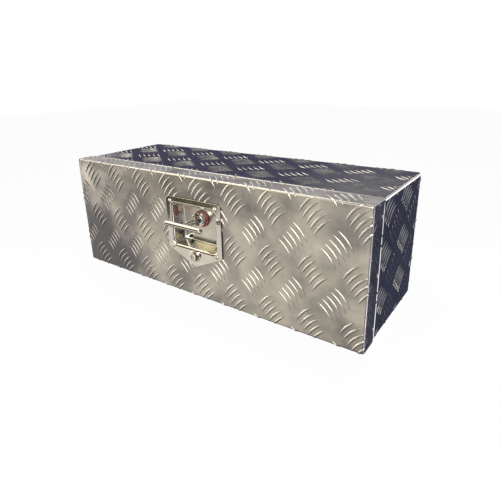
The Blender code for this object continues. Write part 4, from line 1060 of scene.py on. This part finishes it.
class BOX_OT_welds(bpy.types.Operator):
    """Adds the weld beads down the door's four corners"""

    bl_idname = "storage_box.welds"
    bl_label = "Corner welds"

    def execute(self, context):
        """A bead is a tube along Y whose radius ripples, r (1 + 0.14 |sin|), and closes at its ends."""
        share = np.linspace(0, 1, 121)
        front = DOOR_LOW.y + 2.4 * MM
        y = front + (DOOR_HIGH.y - BEND - front) * share
        ripple = 1 + 0.14 * np.abs(np.sin(share * math.pi * 18))
        ends = np.sqrt(np.clip(1 - np.abs(2 * share - 1) ** 24, 0, 1)) * 0.92 + 0.08
        profile = np.stack([1.9 * MM * ripple * ends, y], -1)
        inset = BEND * (1 - math.sqrt(0.5)) + 0.9 * MM
        bodies = [revolve(profile, (x, 0, z), 20) for x in (DOOR_LOW.x + inset, DOOR_HIGH.x - inset)
                  for z in (DOOR_LOW.z + inset, DOOR_HIGH.z - inset)]
        as_piece("door_corner_welds", bodies, "weld", "door")
        return {"FINISHED"}


# Lock

AROUND = turns(360)


def axis_of(node):
    """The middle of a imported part's box, on an axis along Y."""
    low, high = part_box(node)
    return (low.x + high.x) / 2, 0, (low.z + high.z) / 2


def rim(inset, y):
    """The lock plate's outline, drawn in by inset, as a ring at y."""
    half = PLATE_HALF - inset
    top = PLATE_HIGH.z - inset
    point = PLATE_LOW.z + 0.05 * MM + inset
    corners = ((-half, top, 9), (-half, SHOULDER_Z, 4), (0, point, 4), (half, SHOULDER_Z, 4), (half, top, 9))
    flat = outline([(LOCK_X + x, z, radius * MM) for x, z, radius in corners])
    return ring_at(by_angle(flat, DISH_MIDDLE, AROUND), y)


def dish(grow, y):
    """The dish's outline, let out by grow, as a ring at y."""
    flat = rectangle(DISH_MIDDLE, DISH_HALF + grow, max(8 * MM + grow, 3 * MM))
    return ring_at(by_angle(flat, DISH_MIDDLE, AROUND), y)


def dish_side(offset, mouth, foot):
    """Rings over the turn at the dish's mouth, its sloping wall and the turn at its foot, offset from the
    front skin. Each turn is a quarter circle, and the wall draws in by DRAFT."""
    face = PLATE_FRONT + offset
    base = DISH_FLOOR + offset
    steps = np.radians(np.linspace(0, 90, 7))
    rings = [dish(mouth * (1 - math.sin(a)) + offset, face + mouth * (1 - math.cos(a))) for a in steps]
    rings += [dish(-DRAFT * share + offset, face + mouth + (base - foot - face - mouth) * share)
              for share in np.linspace(0, 1, 6)[1:]]
    rings += [dish(-DRAFT - foot * (1 - math.cos(a)) + offset, base - foot * (1 - math.sin(a)))
              for a in steps[1:]]
    return rings


class BOX_OT_lock_plate(bpy.types.Operator):
    """Adds the pressed lock plate with its dish, the gasket under it and its four rivets"""

    bl_idname = "storage_box.lock_plate"
    bl_label = "Lock plate"

    def execute(self, context):
        """Rings run from the plate's back edge over its rim, face, dish mouth, wall and floor to the
        spindle's hole, and back behind them one thickness away; the first and last ring are joined."""
        sizes = context.scene.box_lock
        edge, mouth, foot = sizes.edge_round, sizes.mouth_round, sizes.floor_round
        flat = 0.25 * MM
        holes = [9.5 * MM, 7.4 * MM]
        front = [rim(edge * (1 - math.cos(a)), PLATE_FRONT + edge * (1 - math.sin(a)))
                 for a in np.radians((0, 30, 60, 90))]
        front += [rim(edge + flat, PLATE_FRONT), dish(mouth + flat, PLATE_FRONT)]
        front += dish_side(0, mouth, foot)
        front.append(dish(-DRAFT - foot - flat, DISH_FLOOR))
        front += [circle(HUB, hole, AROUND, DISH_FLOOR) for hole in holes]
        behind = [circle(HUB, hole, AROUND, DISH_FLOOR + PLATE_THICK) for hole in holes[::-1]]
        behind += dish_side(PLATE_THICK, max(mouth - PLATE_THICK, GAP), foot + PLATE_THICK)[::-1]
        behind.append(rim(0, PLATE_FRONT + PLATE_THICK))
        plate = as_piece("pressed_lock_plate", [skin(front + behind, closed=True)], "polished_stainless",
                         "door", "lock_plate")
        cut_out(plate, barrel_hole())

        low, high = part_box("lock_gasket")
        inset, hole = 0.9 * MM, 4.0 * MM
        rings = [rim(inset, low.y), rim(inset - 0.25 * MM, (low.y + high.y) / 2), rim(inset, high.y),
                 dish(hole, high.y), dish(hole, low.y)]
        gasket = as_piece("rubber_lock_gasket", [skin(rings, closed=True)], "black_rubber", "door",
                          "lock_gasket")
        cut_out(gasket, barrel_hole())

        head, tail = PLATE_FRONT - 0.1 * MM, DOOR_LOW.y + 2.8 * MM
        crater = profile_mm((0.25, head - 0.75 * MM), (1.0, head - 0.85 * MM), (1.25, head - 1.25 * MM),
                            (1.35, head - 1.62 * MM))
        shank = profile_mm((2.1, head), (2.1, tail), (3.2, tail + 0.2 * MM), (3.3, tail + 1.2 * MM),
                           (2.9, tail + 2.2 * MM), (2.1, tail + 3.3 * MM), (0.8, tail + 3.5 * MM))
        profile = np.concatenate([crater, quarter(0, head, 4.0 * MM, 1.9 * MM, 14, 22), shank])
        for number in range(1, 5):
            node = f"lock_rivet_{number}"
            centre = axis_of(node)
            # Painted shade: the lower two rivets, the same chrome rivets, get the duller zinc finish to look
            # shaded
            finish = "chrome" if centre[2] > HUB_Z else "zinc_steel"
            as_piece(f"blind_rivet_{number}", [revolve(profile, centre, 40)], finish, "door",
                     node)
        return {"FINISHED"}


class BOX_OT_handle(bpy.types.Operator):
    """Adds the folding T-handle: a round crossbar and a flat stem with its eye"""

    bl_idname = "storage_box.handle"
    bl_label = "T-handle"

    def execute(self, context):
        """The crossbar is a circle carried along X, drawn in at both ends by a quarter circle. The stem is
        its side view carried across X: its half width is 4.7 mm plus a flare that grows towards the
        crossbar."""
        sizes = context.scene.box_lock
        low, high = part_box("t_handle")
        radius = 5.25 * MM
        bar_y = low.y + radius
        half = (high.x - low.x) / 2
        bar = revolve(rod(radius, -half, half, sizes.crossbar_round, 9, 29), (LOCK_X, bar_y, HUB_Z), 40, "X")

        eye, bore, neck, stem_half, round_edge = (value * MM for value in (6.2, 2.7, 4.4, 4.7, 1.0))
        hub = np.array([FOLD_Y, HUB_Z])
        loop = arc(hub, eye, -120, 120, 40)
        along = np.linspace(0, 1, 24)[1:]
        start_y, start_z = loop[-1][0], loop[-1][1] - HUB_Z
        run_y = start_y + (bar_y - start_y) * along
        run_z = start_z + (neck - start_z) * along + 0.7 * MM * along**6
        upper = np.stack([run_y, HUB_Z + run_z], -1)
        lower = np.stack([run_y, HUB_Z - run_z], -1)[::-1]
        side = np.concatenate([loop, upper, lower])
        away = (side - hub) / np.linalg.norm(side - hub, axis=1, keepdims=True)
        flare_start, flare_length = FOLD_Y - 22 * MM, 22 * MM
        closeness = np.clip((flare_start - side[:, 0]) / flare_length, 0, 1)
        flare = stem_half + sizes.neck_flare * closeness**3
        on_eye = side[:, :1] > FOLD_Y - eye * 0.55
        beside = np.stack([0 * side[:, 0], np.sign(side[:, 1] - HUB_Z)], -1)
        inward = np.where(on_eye, away, beside)
        rings = [slice_at(hub + away * bore, LOCK_X - stem_half)]
        edge = np.radians(np.linspace(90, 0, 6))
        for sign, sweep in ((-1, edge), (1, edge[::-1])):
            for a in sweep:
                shrunk = side - inward * round_edge * (1 - math.cos(a))
                rings.append(slice_at(shrunk, LOCK_X + sign * (flare - round_edge * (1 - math.sin(a)))))
        rings.append(slice_at(hub + away * bore, LOCK_X + stem_half))
        stem = skin(rings, closed=True)
        as_piece("chromed_t_handle", [bar, stem], "chrome", "handle", "t_handle")
        return {"FINISHED"}


def fork_cheek(side, front, rear):
    """One cheek of the boss's fork: a circle cut off by a chord, from rear to front, where it is drawn in
    by a quarter circle."""
    chord, radius, turn = 5.2 * MM, 14.0 * MM, 1.2 * MM
    open_angle = math.degrees(math.acos(chord / radius))
    levels = [(0.0, rear), (0.0, front + turn)]
    levels += [(turn * (1 - math.cos(a)), front + turn * (1 - math.sin(a)))
               for a in np.radians((18, 36, 54, 72, 90))]
    rings = []
    for inset, y in levels:
        reach = open_angle - math.degrees(inset / radius) * 1.4
        bow = arc((0, 0), radius - inset, -reach, reach, 30)
        flat = np.linspace(bow[-1], bow[0], 16)[1:-1]
        flat[:, 0] = bow[0, 0] = bow[-1, 0] = chord + min(inset, 0.4 * MM)
        rings.append(ring_at(np.concatenate([bow, flat]) * (side, 1) + HUB, y))
    return skin(rings)


class BOX_OT_spindle(bpy.types.Operator):
    """Adds the spindle with its forked boss, its red ring and the handle's bumpers"""

    bl_idname = "storage_box.spindle"
    bl_label = "Spindle"

    def execute(self, context):
        """The base, shaft and stud are turned about Y, and so are the ring and the bumpers."""
        low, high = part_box("spindle")
        hub = (LOCK_X, 0, HUB_Z)
        floor = FOLD_Y + 6.7 * MM
        base = DISH_FLOOR - 0.6 * MM
        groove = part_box("spindle_bearing")[1].y + 0.15 * MM
        cam_front, cam_rear = (corner.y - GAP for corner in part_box("latch_cam"))
        profile = profile_mm(
            (0.5, floor), (13.6, floor), (14.0, floor + 0.4 * MM), (14.0, base), (7.0, base), (7.0, groove),
            (6.0, groove), (6.0, groove + 1.6 * MM), (7.0, groove + 1.6 * MM), (7.0, cam_front),
            (4.8, cam_front), (4.0, cam_rear), (4.0, high.y - 0.5 * MM), (3.6, high.y), (0.5, high.y))
        corners = rectangle(HUB, (4.8 * MM, 4.8 * MM), 0.6 * MM)
        square = skin([ring_at(corners, cam_front - 1.7 * MM), ring_at(corners, cam_rear)])
        cheeks = [fork_cheek(side, low.y, floor + 0.5 * MM) for side in (-1, 1)]
        as_piece("forked_spindle", [revolve(profile, hub), square, *cheeks], "polished_stainless", "spindle",
                 "spindle")

        low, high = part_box("fold_pin")
        pin = revolve(rod(2.4 * MM, low.x, high.x, 0.5 * MM, 5), (0, FOLD_Y, HUB_Z), 32, "X")
        as_piece("polished_fold_pin", [pin], "chrome", "spindle", "fold_pin")

        low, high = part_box("spindle_seal")
        lip = arc((0, 0), 1.0, -90, 90, 14) * (1.4 * MM, (high.y - low.y) / 2)
        profile = np.concatenate([lip + (15.6 * MM, (high.y + low.y) / 2),
                                  profile_mm((14.3, high.y - GAP), (14.3, low.y + GAP))])
        as_piece("red_sealing_ring", [revolve(profile, hub, 72, closed=True)], "red_rubber", "door",
                 "spindle_seal")

        for word in ("left", "right"):
            node = f"handle_bumper_{word}"
            low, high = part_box(node)
            collar = high.y - 0.9 * MM
            profile = np.concatenate([
                quarter(0, low.y + 1.6 * MM, 2.6 * MM, 1.6 * MM, 10, 8),
                profile_mm((2.6, collar), (3.4, collar + 0.2 * MM), (3.5, high.y), (0.5, high.y))])
            as_piece(f"rubber_bumper_{word}", [revolve(profile, axis_of(node), 36)], "black_rubber", "door",
                     node)
        return {"FINISHED"}


class BOX_OT_push_lock(bpy.types.Operator):
    """Adds the push lock: its bezel and barrel, the plunger, the key plug and the spring"""

    bl_idname = "storage_box.push_lock"
    bl_label = "Push lock"

    def execute(self, context):
        """Barrel and plunger are profiles turned about Y. The plug's rings run from its keyway's floor out
        over its face. The spring is a circle carried along a helix."""
        centre = (LOCK_X, 0, KEY_Z)
        low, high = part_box("lock_barrel")
        seat = PLATE_FRONT - 0.2 * MM
        clip_front, clip_rear = DOOR_LOW.y + 2.65 * MM, DOOR_LOW.y + 3.95 * MM
        profile = np.concatenate([
            profile_mm((9.5, low.y + GAP), (9.8, low.y)),
            quarter(11.3 * MM, low.y + 1.0 * MM, 1.0 * MM, 1.0 * MM, 7),
            profile_mm((12.3, seat), (11.3, seat), (11.3, clip_front), (10.6, clip_front), (10.6, clip_rear),
                       (11.3, clip_rear), (11.3, high.y - 0.4 * MM), (10.9, high.y), (4.0, high.y),
                       (4.0, high.y - 2 * MM), (9.5, high.y - 2 * MM))])
        as_piece("lock_barrel_turned", [revolve(profile, centre, closed=True)], "chrome", "door",
                 "lock_barrel")

        low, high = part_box("lock_plunger")
        pocket, shoulder = low.y + 9.7 * MM, low.y + 29 * MM
        profile = np.concatenate([
            profile_mm((0.5, pocket), (5.3, pocket), (5.3, low.y + 0.2 * MM), (5.5, low.y)),
            quarter(8.4 * MM, low.y + 0.8 * MM, 0.8 * MM, 0.8 * MM, 7),
            profile_mm((9.2, shoulder - 0.4 * MM), (8.8, shoulder), (3.5, shoulder), (3.5, high.y - 0.6 * MM),
                       (2.9, high.y), (0.5, high.y))])
        as_piece("lock_plunger_turned", [revolve(profile, centre)], "chrome", "plunger",
                 "lock_plunger")

        low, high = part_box("key_plug")
        around = turns(96)
        middle = np.array([LOCK_X, KEY_Z])
        slot = by_angle(rectangle(middle, (0.8 * MM, 3.5 * MM), 0.3 * MM, 0.2 * MM), middle, around)
        rings = [ring_at(slot, low.y + 5 * MM), ring_at(slot, low.y + 0.15 * MM),
                 ring_at(middle + (slot - middle) * 1.06, low.y)]
        rings += [circle(middle, radius * MM, around, y) for radius, y in (
            (4.6, low.y), (4.9, low.y + 0.1 * MM), (5.0, low.y + 0.4 * MM), (5.0, high.y))]
        as_piece("key_plug_turned", [skin(rings)], "nickel_brass", "key_plug", "key_plug")

        low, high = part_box("plunger_spring")
        coils, wire, coil_radius = 5, 0.5 * MM, 6.8 * MM
        share = np.linspace(0, 1, 361)
        turn = share * coils * math.tau
        outward = np.stack([np.cos(turn), 0 * turn, np.sin(turn)], -1)
        line = outward * coil_radius + (LOCK_X, 0, KEY_Z)
        line[:, 1] = low.y + wire + (high.y - low.y - 2 * wire) * share
        around = turns(12)[:, None]
        rings = line[:, None] + wire * (np.cos(around) * outward[:, None] + np.sin(around) * (0, 1, 0))
        spring = as_piece("wound_plunger_spring", [skin(rings)], "zinc_steel", "plunger",
                          "plunger_spring")
        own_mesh(spring)
        return {"FINISHED"}


# Seal and hinge


class BOX_OT_seal(bpy.types.Operator):
    """Adds the ribbed rubber seal round the opening"""

    bl_idname = "storage_box.seal"
    bl_label = "Opening seal"

    def execute(self, context):
        """The seal's section is carried round a rectangle with round corners: its face has low ribs, with a
        height of 1 - 0.4 (1 - |cos|) across its width."""
        low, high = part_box("opening_seal")
        middle, half = middle_and_half(low.xz, high.xz)
        width = 9.0 * MM
        share = np.linspace(0, 1, 25)
        crown = 1 - 0.4 * (1 - np.abs(np.cos(share * math.pi * 3)))
        levels = [*zip(share, high.y - (high.y - low.y) * crown), (1.0, high.y), (0.5, high.y), (0.0, high.y)]
        rings = []
        for part, y in levels:
            inset = width * part
            rings.append(ring_at(rectangle(middle, half - inset, max(11 * MM - inset, 2 * MM), 1.0), y))
        as_piece("ribbed_opening_seal", [skin(rings, closed=True)], "black_rubber", "body",
                 "opening_seal")
        return {"FINISHED"}


def rivet_heads(centres, way):
    """Low round heads, sunk 0.4 mm: 2.4 mm sin a across and 0.9 mm cos a out along way (0, y, z)."""
    sweep = np.radians(np.linspace(10, 90, 6))
    across = np.concatenate([2.4 * MM * np.sin(sweep), [2.4 * MM]])
    out = np.concatenate([0.9 * MM * np.cos(sweep), [-0.4 * MM]])
    turn = turns(16)[:, None]
    round_way = np.cos(turn) * (1.0, 0, 0) + np.sin(turn) * np.cross(way, (1, 0, 0))
    local = across[:, None, None] * round_way + out[:, None, None] * np.array(way)
    return skin(np.asarray(centres, float)[:, None, None] + local)


class BOX_OT_hinge(bpy.types.Operator):
    """Adds the small rivets of the piano hinge's two leaves"""

    bl_idname = "storage_box.hinge"
    bl_label = "Hinge rivets"

    def execute(self, context):
        """Heads stand 40 mm apart along each leaf."""
        low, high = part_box("hinge_leaf_body")
        for word, shift, y, z, way in (
                ("body", 0, high.y - 0.8 * MM, low.z + 11 * MM, (0, -1, 0)),
                ("door", 10 * MM, DOOR_HIGH.y - 11 * MM, DOOR_LOW.z, (0, 0, -1))):
            centres = [(number * 40 * MM + shift, y, z) for number in range(-8, 9)]
            as_piece(f"hinge_rivets_{word}", [rivet_heads(centres, way)], "zinc_steel", word)
        return {"FINISHED"}


# Panel and registering


class BOX_PT_panel(bpy.types.Panel):
    """Lists the steps that dress the box"""

    bl_idname = "BOX_PT_panel"
    bl_label = "Storage box"
    bl_space_type = "VIEW_3D"
    bl_region_type = "UI"
    bl_category = "Storage Box"

    def draw(self, context):
        for operator in OPERATORS:
            self.layout.operator(operator.bl_idname)
        for group in GROUPS:
            settings = getattr(context.scene, group)
            for name in settings.bl_rna.properties.keys():
                if name not in ("rna_type", "name"):
                    self.layout.prop(settings, name)


GROUPS = {"box_tread": BoxTread, "box_lock": BoxLock, "box_finish": BoxFinish, "box_stage": BoxStage}
OPERATORS = (BOX_OT_stage, BOX_OT_finishes, BOX_OT_sheets, BOX_OT_tread, BOX_OT_welds, BOX_OT_lock_plate,
             BOX_OT_handle, BOX_OT_spindle, BOX_OT_push_lock, BOX_OT_seal, BOX_OT_hinge)


def register():
    """Registers the settings, the operators and the panel."""
    for kind in (*GROUPS.values(), *OPERATORS, BOX_PT_panel):
        bpy.utils.register_class(kind)
    for name, group in GROUPS.items():
        setattr(bpy.types.Scene, name, bpy.props.PointerProperty(type=group))


def unregister():
    """Removes them again."""
    for name in GROUPS:
        delattr(bpy.types.Scene, name)
    for kind in reversed((*GROUPS.values(), *OPERATORS, BOX_PT_panel)):
        bpy.utils.unregister_class(kind)


def main():
    """Registers the add-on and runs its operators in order."""
    register()
    for operator in OPERATORS:
        category, name = operator.bl_idname.split(".")
        getattr(getattr(bpy.ops, category), name)()


if __name__ == "__main__":
    main()
